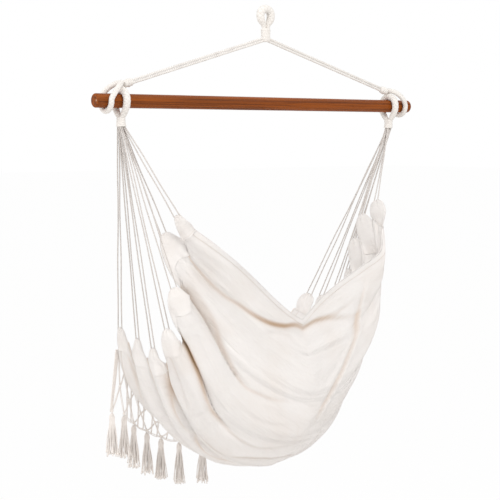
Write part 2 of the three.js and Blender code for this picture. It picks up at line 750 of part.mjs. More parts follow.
// Bend of a clew cord inside the tab, from the first run over the bottom to the second
function cordBend(frame, steps) {
  const radius = cordLoopWidth / 2;
  const centre = frame.tip.clone().addScaledVector(frame.axis, radius - cordLoopDepth);
  const points = [];
  for (let i = 0; i <= steps; i++) {
    const turn = (Math.PI * i) / steps;
    points.push(centre.clone()
      .addScaledVector(frame.across, radius * Math.cos(turn))
      .addScaledVector(frame.axis, -radius * Math.sin(turn)));
  }
  return points;
}

// A tab's two runs start side by side in the wrap: the back tabs inboard, the others outboard, as they fan.
const backTabCount = 3;

function cordStarts(side, k) {
  const slope = (n) => {
    const tip = slingPoint(side, tabPlaces[n]);
    return tip.y / (tip.z + barDrop + wrapBottomDrop);
  };
  const inboard = k < backTabCount;
  const rows = tabPlaces.map((place, n) => n).filter((n) => (n < backTabCount) === inboard);
  rows.sort((a, b) => slope(a) - slope(b));
  const y = ((rows.length - 1) / 2 - rows.indexOf(k)) * cordPitch;
  const x = (inboard ? -1 : 1) * cordPitch;
  const z = -(wrapBottomDrop - wrapCupDepth + 4 * gap) - barDrop;
  return [0.5, -0.5].map((share) => new THREE.Vector3(side * (clewPlace + x + share * cordPitch), y, z));
}

function makeTabs() {
  for (const [side, word] of [[1, 'left'], [-1, 'right']]) {
    for (let k = 0; k < tabCount; k++) {
      const frame = tabFrame(word, k);
      const bend = cordBend(frame, bendStepCount);
      const [first, second] = cordStarts(side, k);
      const edge = (point) => point.clone().addScaledVector(
        frame.axis, cordLoopDepth - cordLoopWidth / 2);
      const lead = (point, start) => edge(point).addScaledVector(
        start.clone().sub(edge(point)).normalize(), cordLead);
      const near = lead(bend[0], first);
      const far = lead(bend[bendStepCount], second);
      const route = [first, near, edge(bend[0]), ...bend, edge(bend[bendStepCount]), far, second];
      addPiece(`clew_cord_${word}_${k + 1}`, cord(route, clewCord, 8, 1), ropeColour);
      const bore = [near, edge(bend[0]), ...bend, edge(bend[bendStepCount]), far];
      const tab = toSolid(tabBody(word, k)).subtract(toSolid(cord(bore, clewCord + 2 * cordGap, 6, 1)));
      addPiece(`tab_${word}_${k + 1}`, toGeometry(tab.simplify(fineness)), canvasColour);
    }
  }
}

// Fringe: knots in two rows below the hem, joined by cords to a heading cord sewn along the hem
const headDropShares = [1, 0.95, 0.98, 1.17, 1.5, 1.95, 2.85]; // of the net's depth, from the middle out
const headOutShares = [0, 0.2, 0.15, 0, -0.05, -0.1, 0.2];
const headForwardShares = [1, 1, 1, 1, 1, 1.5, 2.5]; // of the net's reach in front of the hem
const netHangShare = 0.35; // of the net's cord, between the heading cord's middle and the strands' tops
const netEndRopeShare = 1.5; // of the net's cord, for the thicker strand at each end of the hem
const netEndShare = 0.995; // of the hem's half length, at which the last cord hangs

function hemLine(outset) {
  const last = clothRows.length - 1;
  const points = [];
  for (let i = columnCount; i >= 0; i--) {
    const edge = clothNode(i, last, 0);
    const outward = edge.clone().sub(clothNode(i, last - 1, 0)).normalize();
    points.push(edge.addScaledVector(outward, netCord / 2 + 2 * gap + outset));
  }
  return points;
}

function pointAlong(points, length) {
  let rest = length;
  for (let i = 1; i < points.length; i++) {
    const run = points[i].distanceTo(points[i - 1]);
    if (rest <= run || i === points.length - 1) {
      return points[i - 1].clone().lerp(points[i], Math.min(rest / run, 1));
    }
    rest -= run;
  }
  return points[0].clone();
}

function fringeNodes() {
  const hem = hemLine(netHangShare * netCord);
  let total = 0;
  for (let i = 1; i < hem.length; i++) total += hem[i].distanceTo(hem[i - 1]);
  const middle = (tasselCount - 1) / 2;
  const tops = [];
  const heads = [];
  for (let k = 0; k < tasselCount; k++) {
    const share = (1 + (netEndShare * (k - middle)) / middle) / 2;
    const top = pointAlong(hem, share * total);
    const m = Math.abs(k - middle);
    const side = Math.sign(middle - k);
    tops.push(top);
    heads.push(new THREE.Vector3(
      top.x + side * headOutShares[m] * netDepth,
      top.y - netForward * headForwardShares[m],
      top.z - headDropShares[m] * netDepth,
    ));
  }
  const knots = [];
  for (let k = 0; k + 1 < tasselCount; k++) {
    const sum = tops[k].clone().add(tops[k + 1]).add(heads[k]).add(heads[k + 1]);
    knots.push(sum.multiplyScalar(1 / 4));
  }
  return { tops, knots, heads };
}

function strand(from, to, diameter) {
  return toSolid(cord([from, to], diameter, 4, 1));
}

function bead(at, diameter) {
  return toSolid(new THREE.OctahedronGeometry(diameter / 2).translate(at.x, at.y, at.z));
}

function makeFringe() {
  const { tops, knots, heads } = fringeNodes();
  const pieces = [toSolid(cord(hemLine(0), netCord, 8, 1))];
  for (let k = 0; k < tasselCount; k++) {
    pieces.push(bead(heads[k], netKnot));
    if (k + 1 < tasselCount) {
      pieces.push(bead(knots[k], netKnot));
      pieces.push(strand(tops[k], knots[k], netCord), strand(tops[k + 1], knots[k], netCord));
      pieces.push(strand(knots[k], heads[k], netCord), strand(knots[k], heads[k + 1], netCord));
    }
  }
  for (const [k, side] of [[0, 1], [tasselCount - 1, -1]]) {
    const shift = netHangShare * netCord;
    const start = tops[k].clone().add(new THREE.Vector3(side * shift, -shift, 0));
    pieces.push(strand(start, heads[k], netEndRopeShare * netCord));
  }
  addPiece('fringe_net', toGeometry(wasm.Manifold.union(pieces).simplify(4 * fineness)), fringeColour);
  heads.forEach((head, k) => {
    addPiece(`tassel_${String(k + 1).padStart(2, '0')}`, tasselBody(head), fringeColour);
  });
}

// Tassel: a round head, a bound neck and a fluted skirt of cut cords, open and hollow below.
// Outline from the top down: [which width, share of it, share of the length]
const tasselShares = [
  [tasselHead, 0.5, 0],
  [tasselHead, 1, 0.07],
  [tasselHead, 0.96, 0.13],
  [tasselNeck, 1, 0.19],
  [tasselSkirt, 0.65, 0.45],
  [tasselSkirt, 1, 1],
];
const fluteShare = 0.16; // of the skirt's width
const hollowShares = [[1, 0.64], [0.45, 0.12]]; // inside: [share of the length, share of the skirt]

function tasselBody(head) {
  const sides = 10;
  const points = [];
  const ring = (width, share, fluted) => {
    for (let j = 0; j < sides; j++) {
      const reach = (width / 2) * (1 - (fluted && j % 2 ? fluteShare : 0));
      const turn = (2 * Math.PI * j) / sides;
      const z = -share * tasselLength;
      points.push(new THREE.Vector3(reach * Math.cos(turn), reach * Math.sin(turn), z));
    }
  };
  for (const [width, of, share] of tasselShares) ring(of * width, share, width !== tasselHead);
  for (const [share, of] of hollowShares) ring(of * tasselSkirt, share, false);
  points.push(new THREE.Vector3(), new THREE.Vector3(0, 0, -hollowShares[1][0] * tasselLength));
  const rings = tasselShares.length + hollowShares.length;
  return skin(points, rings, sides).translate(head.x, head.y, head.z - netKnot / 2 - gap);
}

function makeSling() {
  addPiece('canvas_seat', slab(columnCount, clothRows.length - 1, clothNode), canvasColour);
}

makeBar();
makeEye();
makeLegs();
makeClews();
makeSling();
makeTabs();
makeFringe();

export default chair;
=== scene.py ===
"""Hammock chair: the looks of a canvas sling seat that hangs by cords from a wooden spreader bar.

Everything is in metres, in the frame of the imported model: X along the bar with +X at its near end
in the photograph, +Y the backrest side, +Z up, and the origin inside the crown of the hanging eye.
"""
import math

import bpy
import numpy as np
from bpy.props import FloatProperty, FloatVectorProperty, IntProperty, PointerProperty
from mathutils import Matrix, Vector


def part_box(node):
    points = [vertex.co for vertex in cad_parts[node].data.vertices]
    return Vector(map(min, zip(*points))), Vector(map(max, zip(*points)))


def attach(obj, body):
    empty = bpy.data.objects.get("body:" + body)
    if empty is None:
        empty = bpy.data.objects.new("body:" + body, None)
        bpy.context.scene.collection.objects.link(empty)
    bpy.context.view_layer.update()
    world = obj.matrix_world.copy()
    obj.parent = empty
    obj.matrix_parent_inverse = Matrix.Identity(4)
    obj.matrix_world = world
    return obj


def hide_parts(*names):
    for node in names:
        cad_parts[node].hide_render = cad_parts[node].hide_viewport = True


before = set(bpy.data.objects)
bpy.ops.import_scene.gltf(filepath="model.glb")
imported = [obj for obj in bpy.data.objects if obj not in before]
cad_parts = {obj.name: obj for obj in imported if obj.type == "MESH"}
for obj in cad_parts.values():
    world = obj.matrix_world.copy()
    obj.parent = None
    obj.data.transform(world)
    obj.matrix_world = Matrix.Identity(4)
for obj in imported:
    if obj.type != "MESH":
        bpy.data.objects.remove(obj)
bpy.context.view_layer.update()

bl_info = {
    "name": "Hammock Chair",
    "version": (1, 0, 0),
    "blender": (4, 5, 0),
    "location": "View3D > Sidebar > Chair",
    "description": "Dresses the frame of a hammock chair with wood, rope, canvas and fringe",
    "category": "Add Mesh",
}

# Clearance between two pieces, and the two ends of the bar by their sign along X
GAP = 0.0003
SIDES = (("left", 1), ("right", -1))

# Spreader bar, and the outline of its plugs as (width, height above the end) in shares of their
# radius
BAR_LENGTH = 0.975
BAR_DIAMETER = 0.032
BAR_DROP = 0.218
BAR_WAVER = 0.00006
POLE_RADIUS = 0.0002
PLUG_OFFSET = 0.009
PLUG_OUTLINE = ((1, -1.2), (1, -0.2), (1, 0.06), (0.92, 0.13), (0.6, 0.17), (0.1, 0.18))

# Hanging eye, binding and hanging cords
EYE_ROPE = 0.020
EYE_OPENING = 0.012
EYE_SLIT = 0.026
EYE_SWELL = 1.03
EYE_NECK_ROPE = 0.010
EYE_TAIL = 0.012
BINDING_DIAMETER = 0.025
BINDING_LENGTH = 0.033
LEG_CORD = 0.006
LEG_SPACING = 0.0064
LEG_ENTRY = 0.004
LEG_RISE = 0.0076

# Clew eyes, wraps, rings and knots
CLEW_INSET = 0.0695
CLEW_ROPE = 0.017
CLEW_NECK_ROPE = 0.010
CLEW_STRAND_DROP = 0.047
WRAP_TOP_DROP = 0.035
WRAP_BOTTOM_DROP = 0.057
WRAP_CUP_DEPTH = 0.004
WRAP_WIDTH = 0.0226
# Wrap from top to bottom: share of its height, and of its width along the bar and across it
WRAP_OUTLINE = ((0, 0.66, 1.05), (0.12, 0.76, 1.16), (0.5, 0.84, 1.08), (0.85, 1, 1),
                (1, 1.07, 1.07))
RING_ROPE = 0.013
RING_INSET = 0.0305
KNOT_LENGTH = 0.024
KNOT_DIAMETER = 0.020
KNOT_END_DIAMETER = 0.012

# Clew cords
CLEW_CORD = 0.0033
CORD_PITCH = 0.0037
CORD_LOOP_WIDTH = 0.014
CORD_LOOP_DEPTH = 0.016
CORD_LEAD = 0.009
CORD_WANDER = 0.0013
BACK_TAB_COUNT = 3

# Canvas sling, measured from the bar's axis
HALF_SPAN = 0.315
HEM_DROP = 0.519
SEAT_DROP = 0.902
FRONT_DROP = 0.826
BELLY_REACH = 0.152
FRONT_REACH = 0.238
DIP_SHIFT = 0.055
TAB_REACH = 0.190
TAB_TOP_DROP = 0.250
TAB_LOW_DROP = 0.575
TAB_COUNT = 7
TAB_WIDTH = 0.050

# Fringe
NET_CORD = 0.004
NET_KNOT = 0.008
TASSEL_COUNT = 13
TASSEL_LENGTH = 0.108
TASSEL_REACH = 0.0125
# Share of the tassel's length, and how far its cords stand off there as a share of the reach
TASSEL_OUTLINE = ((0, 0.12), (0.07, 0.4), (0.13, 0.42), (0.19, 0.36), (0.3, 0.46), (0.6, 0.84),
                  (1, 1.22))
# Shares of the length between which the neck is bound, and the angle from one cord to the next
TASSEL_NECK = (0.12, 0.2)
GOLDEN_TURN = 2.39996

# Distance between the rings of a rope's mesh, or their number, and depth of the grooves between its
# strands as a share of its radius
PLAIT_STEP, PLAIT_GROOVE = 0.0011, 0.09
WINDING_GROOVE = 0.07
LEG_STEP, LEG_GROOVE = 0.0018, 0.13
CORD_STEP, CORD_GROOVE = 0.0015, 0.18
NET_STEP, NET_GROOVE = 0.002, 0.2
RING_POINTS, RING_GROOVE = 150, 0.1
HEADING_GROOVE = 0.24
STRAND_POINTS, STRAND_GROOVE = 22, 0.14

# Pitches of the windings, and lays of the fringe's cords
BINDING_PITCH = 0.0036
WRAP_PITCH = 0.0037
NECK_PITCH = 0.0026
HEADING_LAY = 0.014
NET_LAY = 0.007
STRAND_LAY = 0.02

# Canvas: flat size, threads, stitches, grid of its mesh, and the rings and sides of a tab
THREAD_PITCH = 0.0013
STITCH_PITCH = 0.0045
STITCH_INSET = 0.013
CLOTH_COLUMNS, CLOTH_ROWS = 232, 180
TAB_RINGS, TAB_SIDES = 48, 56

BINDING_TOP = -(EYE_SLIT + EYE_ROPE / 2)
BINDING_BOTTOM = BINDING_TOP - BINDING_LENGTH
CLEW_PLACE = BAR_LENGTH / 2 - CLEW_INSET
RING_PLACE = BAR_LENGTH / 2 - RING_INSET
KNOT_PLACE = CLEW_PLACE - RING_ROPE / 2 - 4 * GAP - KNOT_LENGTH / 2
RING_TOP = BAR_DIAMETER / 2 + CLEW_ROPE + 4 * GAP + RING_ROPE / 2

# Middle of the seat from back hem to front hem: reach as a share of the belly's (+) or the front's
# (-), and drop as a share of the way from the back hem to the lowest point
MIDDLE_REACH_SHARES = (0.776, 0.895, 0.987, 0.987, 0.895, 0.69, 0.395, 0, -0.273, -0.546, -0.79, -1)
MIDDLE_DROP_SHARES = (0, 0.16, 0.355, 0.52, 0.675, 0.815, 0.918, 0.985, 1, 0.964, 0.892)
# Tab tips from back to front: reach as a share of the tabs' reach, drop from the top tab to the
# lowest
TIP_REACH_SHARES = {
    1: (0.35, 0.08, 0.29, 0.14, -0.16, -0.5, -0.9),
    -1: (0.33, 0.03, -0.115, -0.22, -0.45, -0.765, -1.03),
}
TIP_DROP_SHARES = {
    1: (0.02, 0.155, 0.53, 0.83, 0.99, 0.945, 0.89),
    -1: (-0.03, 0.09, 0.29, 0.54, 0.68, 0.785, 0.79),
}
# How far the line of the tips runs on past the first tab and the last, as a share of its next step
RUN_ON_SHARES = (0.08, 0.1)
EDGE_SHARE = 0.03
TAB_PITCH = (1 - 2 * EDGE_SHARE) / (TAB_COUNT - 1)
TAB_PLACES = EDGE_SHARE + TAB_PITCH * np.arange(TAB_COUNT)
# Shares of the way from hem to hem: where the straight back gives way to the round seat, where the
# dip's shift ends, where the right side's belly begins, is full, begins to fade and ends, and where
# the front begins
BACK_SHARE = 0.45
DIP_SHARE = 0.6
BELLY_SHARES = (0, 0.12, 0.2, 0.42)
FRONT_SHARE = 0.8
# How round the dip is, as a share of the half span, and the powers that shape the right side's back
# and belly
DIP_ROUND_SHARE = 0.15
RIGHT_BACK_POWER = 0.75
RIGHT_BELLY_POWER = 2.2
# Share of the way to the tips at which the cloth ends, and how much further in it ends between two
# tabs
SEAM_SHARE = 0.87
SCALLOP_SHARE = 0.04
SPREAD_POWER = 0.85
PLEAT_SIDE_SHARE = 0.34
SWELL_SHARES = (0.15, 0.75, 0.9, 1)
FRAME_PLEAT = 0.026

# Back hem as the cloth hangs: its dip lies this far right of the middle, and on the right, at
# shares of the way out, it has these shares of the distance along the bar, of the rise to the tips
# and of its bulge to the back
HEM_DIP = 0.018
HEM_ROUND_SHARE = 0.04
HEM_FADE_SHARE = 0.25
HEM_BULGE = 0.010
HEM_SHARES = ((0, 0, 0, 0), (0.175, 0.222, 0.163, 0), (0.35, 0.461, 0.293, 0),
              (0.525, 0.707, 0.403, 0), (0.7, 0.945, 0.53, 0.5), (0.8, 0.985, 0.68, 1),
              (0.87, 0.995, 0.79, 1), (1, 1, 1, 0))

# Tabs from back to front: share of the tab width that each keeps at its tip, and of the tabs'
# fullness
TAB_ROOT_SHARE = 0.46
TAB_LAP = 0.0015
TAB_NOSE_POWER = 2.6
TAB_TURN_SHARES = {1: (0, 0.7), -1: (0, 0.5)}
TAB_TIP_SHARES = {
    1: (0.56, 0.84, 0.86, 0.84, 0.7, 0.66, 0.6),
    -1: (1.2, 1.25, 1.2, 1, 0.86, 0.86, 0.86),
}
TAB_FULL_SHARES = {
    1: (0.66, 1, 1, 0.95, 0.7, 0.65, 0.6),
    -1: (0.62, 0.5, 0.5, 0.5, 0.5, 0.5, 0.42),
}
# How much further out, as a share of the way to the tips, the cloth reaches between two tabs than
# at a tab: the plain scallops that the tabs' places are taken from, and the finished cloth's own
# notches
SCALLOPS = (-SCALLOP_SHARE,) * (TAB_COUNT + 1)
NOTCH_SHARES = {
    1: (0, -0.02, -0.04, -0.02, 0.03, 0.07, 0.085, 0),
    -1: (0, 0.075, 0.085, 0.07, 0.05, 0.05, 0.05, 0),
}
# Where the lobes of the hung cloth begin, are full, begin to fade and end
LOBE_SHARES = (0.15, 0.66, 0.74, 1.03)
# Strip between the back hem and the first fold: how flat its arch is, and the least share that its
# lobe falls to
STRIP_POWER = 6
STRIP_FLOOR = 0.2
# Where, from one tab to the next, the valley between two left lobes lies: near the tabs, and
# further in
VALLEY_SHARES = ((0.72, 0.52), (0.37, 0.8), (0.36, 0.76), (0.7, 0.8), (0.5, 0.5), (0.5, 0.5))
# On the right the cloth's normals are those of the sling beyond these shares, where the hung hem is
# too steep
CORNER_SHARES = (0.62, 0.74)

# Folds of the hung cloth, each as points (u, v) on the sling
FOLDS = (
    ((0.86, 0.12), (0.78, 0.14), (0.70, 0.145), (0.58, 0.133), (0.49, 0.117), (0.39, 0.107),
     (0.28, 0.09), (0.17, 0.062), (0.04, 0.022), (-0.06, 0.035), (-0.21, 0.055), (-0.34, 0.06),
     (-0.47, 0.06), (-0.6, 0.07)),
    ((0.95, 0.25), (0.83, 0.23), (0.71, 0.225), (0.62, 0.24), (0.57, 0.265), (0.50, 0.29),
     (0.41, 0.315), (0.32, 0.31), (0.22, 0.30), (0.09, 0.28), (-0.02, 0.27)),
    ((0.97, 0.43), (0.81, 0.40), (0.73, 0.40), (0.65, 0.415), (0.57, 0.44), (0.50, 0.455),
     (0.41, 0.47)),
    ((0.62, 0.46), (0.49, 0.46), (0.38, 0.47), (0.23, 0.475), (0.07, 0.45), (-0.02, 0.42)),
    ((0.57, 0.59), (0.43, 0.59), (0.33, 0.58), (0.27, 0.545), (0.17, 0.52), (0.06, 0.51),
     (-0.05, 0.49), (-0.12, 0.44), (-0.14, 0.38)),
    ((0.54, 0.61), (0.46, 0.635), (0.36, 0.645), (0.24, 0.62), (0.12, 0.58)),
    ((0.97, 0.53), (0.78, 0.51), (0.65, 0.54), (0.52, 0.59)),
    ((0.93, 0.59), (0.83, 0.61), (0.74, 0.62), (0.64, 0.63), (0.54, 0.63), (0.46, 0.61)),
    ((0.92, 0.92), (0.74, 0.91), (0.5, 0.94)),
    ((-0.63, 0.02), (-0.57, 0.04), (-0.48, 0.08), (-0.42, 0.11), (-0.32, 0.15), (-0.22, 0.19),
     (-0.13, 0.24), (-0.07, 0.295), (-0.04, 0.35), (-0.05, 0.42)),
    ((-0.49, 0.05), (-0.42, 0.10), (-0.28, 0.145), (-0.14, 0.19), (-0.03, 0.25)),
    ((0.41, 0.17), (0.28, 0.12), (0.14, 0.085), (0.0, 0.09)),
    ((0.78, 0.30), (0.66, 0.33), (0.52, 0.36), (0.38, 0.375), (0.22, 0.375), (0.05, 0.35)),
    ((0.74, 0.19), (0.60, 0.19), (0.47, 0.19), (0.34, 0.18)),
    ((0.10, 0.045), (-0.04, 0.035), (-0.18, 0.055), (-0.32, 0.075), (-0.46, 0.09), (-0.6, 0.10)),
)
# What each fold does: height and width in metres on the left of its way, as seen from outside, then
# on its right; how strongly it is toned with painted shade; and where along it it is strongest, how
# far that spreads, and the share that it keeps elsewhere
FOLD_FORMS = (
    (0.004, 0.020, -0.007, 0.010, 1.0, 0.45, 0.18, 0.4),
    (0.001, 0.014, -0.003, 0.012, 0.5, 0.5, 0.3, 0.3),
    (0.002, 0.014, -0.004, 0.012, 0.8, 0.45, 0.4, 0.35),
    (0.002, 0.012, -0.005, 0.009, 0.4, 0.3, 0.4, 0.4),
    (0.005, 0.014, -0.014, 0.008, 1.0, 0.55, 0.6, 0.7),
    (0.002, 0.010, -0.006, 0.008, 0.7, 0.4, 0.4, 0.4),
    (0.001, 0.012, -0.005, 0.010, 0.3, 0.2, 0.5, 0.4),
    (0.002, 0.012, -0.008, 0.013, 0.6, 0.4, 0.4, 0.3),
    (0.000, 0.014, -0.003, 0.018, 0.45, 0.4, 0.5, 0.5),
    (0.004, 0.012, -0.007, 0.008, 0.5, 0.6, 0.6, 0.6),
    (0.002, 0.016, -0.003, 0.010, 0.2, 0.3, 0.5, 0.5),
    (0.001, 0.014, -0.002, 0.010, 0.15, 0.5, 0.5, 0.5),
    (0.002, 0.018, -0.003, 0.014, 0.1, 0.4, 0.5, 0.5),
    (0.001, 0.012, -0.003, 0.012, 0.12, 0.4, 0.5, 0.5),
    (0.001, 0.014, -0.005, 0.022, 0.4, 0.5, 0.3, 0.1),
)

# Net: how far outside the heading cord its cords begin, as a share of that cord, and how near the
# hem's ends the first and the last of them are
NET_HANG_SHARE = 0.35
NET_END_SHARE = 0.995

# Camera, as fitted to the photograph: angles in radians, focal length in pixels of the picture
CAMERA_PLACE = (2.0307, 2.4885, -0.2971)
CAMERA_YAW = math.radians(38.54)
CAMERA_PITCH = math.radians(4.95)
FOCAL_PIXELS = 1311.5
PICTURE_PIXELS = 500
SENSOR_WIDTH = 36.0

# Stage: lamps by place, the point that they face, size and power; the sky's light; and the floor
LAMPS = {
    "key": ((0.9, 2.8, 2.1), (0, 0, -0.7), 1.8, 56),
    "fill": ((3.0, -0.2, 0.1), (0, 0, -0.9), 2.4, 18),
}
WHITE = (1, 1, 1, 1)
SKY_COLOUR = (1.0, 0.995, 0.99, 1)
SKY_STRENGTH = 0.8
FLOOR_REACH = 45
FLOOR_LINES = 31
FLOOR_WHITE_SHARE = 0.96


def paint(code):
    """Linear colour, with alpha 1, of an sRGB colour written as a hex code."""
    channels = [((code >> shift) & 255) / 255 for shift in (16, 8, 0)]
    linear = (c / 12.92 if c <= 0.04045 else ((c + 0.055) / 1.055) ** 2.4 for c in channels)
    return (*linear, 1.0)


def mix(a, b, t):
    """Straight line from a to b."""
    return a + (b - a) * t


def smooth(low, high, value):
    """Cubic step from 0 at low to 1 at high."""
    t = np.clip((np.asarray(value, float) - low) / (high - low), 0, 1)
    return t * t * (3 - 2 * t)


def dipped(out, round_share):
    """Straight line from 0 to 1 that starts with a round dip: a hyperbola."""
    return (np.hypot(out, round_share) - round_share) / (np.hypot(1, round_share) - round_share)


def unit(vectors):
    """Vectors divided by their own lengths."""
    return vectors / np.linalg.norm(vectors, axis=-1, keepdims=True)


def through(knots, values, at):
    """Cubic through values at rising knots, each with the slope between its two neighbours."""
    knots, values, at = (np.asarray(x, float) for x in (knots, values, at))
    last = len(knots) - 1
    i = np.clip(np.searchsorted(knots, at, side="left") - 1, 0, last - 1)
    low, high = np.maximum(np.arange(last + 1) - 1, 0), np.minimum(np.arange(last + 1) + 1, last)
    slope = (values[high] - values[low]) / (knots[high] - knots[low])
    run = knots[i + 1] - knots[i]
    s = np.clip((at - knots[i]) / run, 0, 1)
    return (values[i] * (1 + 2 * s) * (1 - s) ** 2 + values[i + 1] * s * s * (3 - 2 * s)
            + run * (slope[i] * s * (1 - s) ** 2 + slope[i + 1] * s * s * (s - 1)))


def route(points, steps):
    """Centripetal cubic through points: each span is a Hermite cubic whose knots go by root of
    distance."""
    points = np.asarray(points, float)
    p = np.vstack([2 * points[:1] - points[1:2], points, 2 * points[-1:] - points[-2:-1]])
    gaps = np.sqrt(np.linalg.norm(np.diff(p, axis=0), axis=1))[:, None]
    d0, d1, d2 = gaps[:-2], gaps[1:-1], gaps[2:]
    a, b, c, d = p[:-3], p[1:-2], p[2:-1], p[3:]
    leave = ((b - a) / d0 - (c - a) / (d0 + d1) + (c - b) / d1) * d1
    reach = ((c - b) / d1 - (d - b) / (d1 + d2) + (d - c) / d2) * d1
    s = (np.arange(steps) / steps)[None, :, None]
    b, c, leave, reach = (x[:, None] for x in (b, c, leave, reach))
    spans = (b + leave * s + (3 * (c - b) - 2 * leave - reach) * s ** 2
             + (2 * (b - c) + leave + reach) * s ** 3)
    return np.vstack([spans.reshape(-1, 3), points[-1:]])


def lengths(path):
    """Distance along a path to each of its points."""
    return np.concatenate([[0], np.cumsum(np.linalg.norm(np.diff(path, axis=0), axis=1))])


def evenly(path, step, *values):
    """Path, and values given at its points, read again at even distances of about one step."""
    at = lengths(path)
    new = np.linspace(0, at[-1], max(int(round(at[-1] / step)), 2) + 1)
    fresh = np.stack([np.interp(new, at, path[:, axis]) for axis in range(3)], 1)
    return (fresh, *(np.interp(new, at, value) for value in values))


def laid(turn, distance, strands, lay):
    """Height from 0 to 1 of a twisted rope: round strands that go once about in one lay."""
    return np.abs(np.cos(math.pi * strands * (turn - distance / lay))) ** 0.7


def braided(turn, distance, carriers, pitch):
    """Height from 0 to 1 of a plait: two crossing sets of helices cut the rope into cells, and each
    cell holds a pillow that runs along one set or the other by turns."""
    one = carriers * turn + distance / pitch
    two = carriers * turn - distance / pitch
    even = (np.floor(one) + np.floor(two)) % 2 == 0
    across = np.where(even, one, two) % 1
    along = np.where(even, two, one) % 1
    return np.sin(math.pi * across) ** 0.6 * np.sin(math.pi * along) ** 0.3


def wound(turn, distance, pitch):
    """Height from 0 to 1 of a cord wound in a close helix: one round crest in each pitch."""
    return np.abs(np.sin(math.pi * (distance / pitch + turn))) ** 0.7


class Skin:
    """One mesh gathered from several surfaces: points, the painted shade that each takes, faces and
    their marks (UV)."""

    def __init__(self):
        self.points, self.hollows, self.faces, self.marks = [], [], [], []
        self.total = 0

    def grid(self, points, hollow, row_marks, column_marks, closed=(False, False)):
        """Faces between the points of a grid stored row by row, each with its marks (column's,
        row's)."""
        rows, columns = points.shape[:2]
        spans = [n - (0 if c else 1) for n, c in zip((rows, columns), closed)]
        i, j = (x.ravel() for x in np.indices(spans))
        across = np.stack([i, i + 1, i + 1, i], 1)
        along = np.stack([j, j, j + 1, j + 1], 1)
        self.faces.append((across % rows) * columns + along % columns + self.total)
        self.marks.append(np.stack([column_marks[along], row_marks[across]], -1))
        self.points.append(points.reshape(-1, 3))
        self.hollows.append(np.broadcast_to(hollow, points.shape[:-1]).ravel())
        self.total += rows * columns

    def close(self, start, rows, sides):
        """One flat face over each end of a tube whose rings are stored from a start on."""
        ring = start + np.arange(sides)
        for cap in (ring, (ring + (rows - 1) * sides)[::-1]):
            self.faces.append(cap[None])
            self.marks.append(np.zeros((1, sides, 2)))

    def tube(self, path, radii, side_of, hollow=0.0, closed=False):
        """Rings about a path: ring i is path[i] + radius (cos t * side + sin t * up), where side is
        square to the path and to side_of. Open ends are closed by one flat face each."""
        path = np.asarray(path, float)
        count, sides = len(path), np.asarray(radii).shape[1]
        if closed:
            tangent = unit(np.roll(path, -1, 0) - np.roll(path, 1, 0))
        else:
            tangent = unit(np.gradient(path, axis=0))
        side = unit(np.cross(tangent, np.asarray(side_of, float)))
        up = np.cross(side, tangent)
        turn = 2 * math.pi * np.arange(sides) / sides
        out = np.cos(turn)[:, None] * side[:, None] + np.sin(turn)[:, None] * up[:, None]
        points = path[:, None] + np.broadcast_to(radii, (count, sides))[..., None] * out
        start = self.total
        row_marks = lengths(np.vstack([path, path[:1]]))
        self.grid(points, hollow, row_marks, np.arange(sides + 1) / sides, (closed, True))
        if not closed:
            self.close(start, count, sides)

    def cord(self, path, radius, side_of, sides, relief, depth, closed=False):
        """Tube of a given radius whose surface is lowered by up to depth of it where the relief is
        low."""
        path = np.asarray(path, float)
        turn = (np.arange(sides) / sides)[None]
        at = lengths(np.vstack([path, path[:1]]))[:len(path), None]
        height = relief(turn, at)
        radius = np.broadcast_to(np.asarray(radius, float), (len(path),))[:, None]
        # Where the relief is low, between the strands, the points take painted shade
        self.tube(path, radius * (1 - depth * (1 - height)), side_of, 1 - height, closed)

    def build(self, name, finish, body, replaces=()):
        """Mesh object at the origin, smooth shaded, that rides on its body and stands for its
        nodes."""
        mesh = bpy.data.meshes.new(name)
        points = np.concatenate(self.points).astype(np.float32)
        mesh.vertices.add(len(points))
        mesh.vertices.foreach_set("co", points.ravel())
        corners = np.concatenate([group.ravel() for group in self.faces])
        sizes = np.concatenate([np.full(len(group), group.shape[1]) for group in self.faces])
        mesh.loops.add(len(corners))
        mesh.loops.foreach_set("vertex_index", corners.astype(np.int32))
        mesh.polygons.add(len(sizes))
        mesh.polygons.foreach_set("loop_start", (np.cumsum(sizes) - sizes).astype(np.int32))
        mesh.polygons.foreach_set("use_smooth", sizes <= 4)
        mesh.update(calc_edges=True)
        marks = mesh.uv_layers.new(name="marks")
        marks.data.foreach_set("uv", np.concatenate([m.reshape(-1, 2) for m in self.marks]).ravel())
        # Painted shade of each point, read by the finishes
        keep(mesh, "hollow", self.hollows)
        mesh.validate()
        piece = bpy.data.objects.new(name, mesh)
        bpy.context.scene.collection.objects.link(piece)
        mesh.materials.append(finish)
        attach(piece, body)
        if replaces:
            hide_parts(*replaces)
        return piece


def keep(mesh, name, values):
    """Keeps a number on each point of a mesh."""
    numbers = np.concatenate([np.ravel(part) for part in values]).astype(np.float32)
    mesh.attributes.new(name, "FLOAT", "POINT").data.foreach_set("value", numbers)


class Nodes:
    """Node tree, with short ways to add and join nodes."""

    def __init__(self, tree):
        self.tree = tree

    def join(self, node, socket, value):
        """Sets a socket of a node, or joins another node's to it."""
        if isinstance(value, bpy.types.NodeSocket):
            self.tree.links.new(value, node.inputs[socket])
        else:
            node.inputs[socket].default_value = value

    def add(self, kind, options, *values, **named):
        """New node with its options, and sockets set or joined by place or by name."""
        node = self.tree.nodes.new(kind)
        for key, value in options.items():
            setattr(node, key, value)
        for place, value in enumerate(values):
            self.join(node, place, value)
        for key, value in named.items():
            self.join(node, key.replace("_", " "), value)
        return node

    def sum(self, operation, *values):
        """One step of arithmetic."""
        return self.add("ShaderNodeMath", {"operation": operation}, *values).outputs[0]

    def seen(self):
        """1 where the camera or the gloss of a piece sees this, 0 where it only gives light."""
        path = self.add("ShaderNodeLightPath", {})
        return self.sum("MAXIMUM", path.outputs["Is Camera Ray"], path.outputs["Is Glossy Ray"])


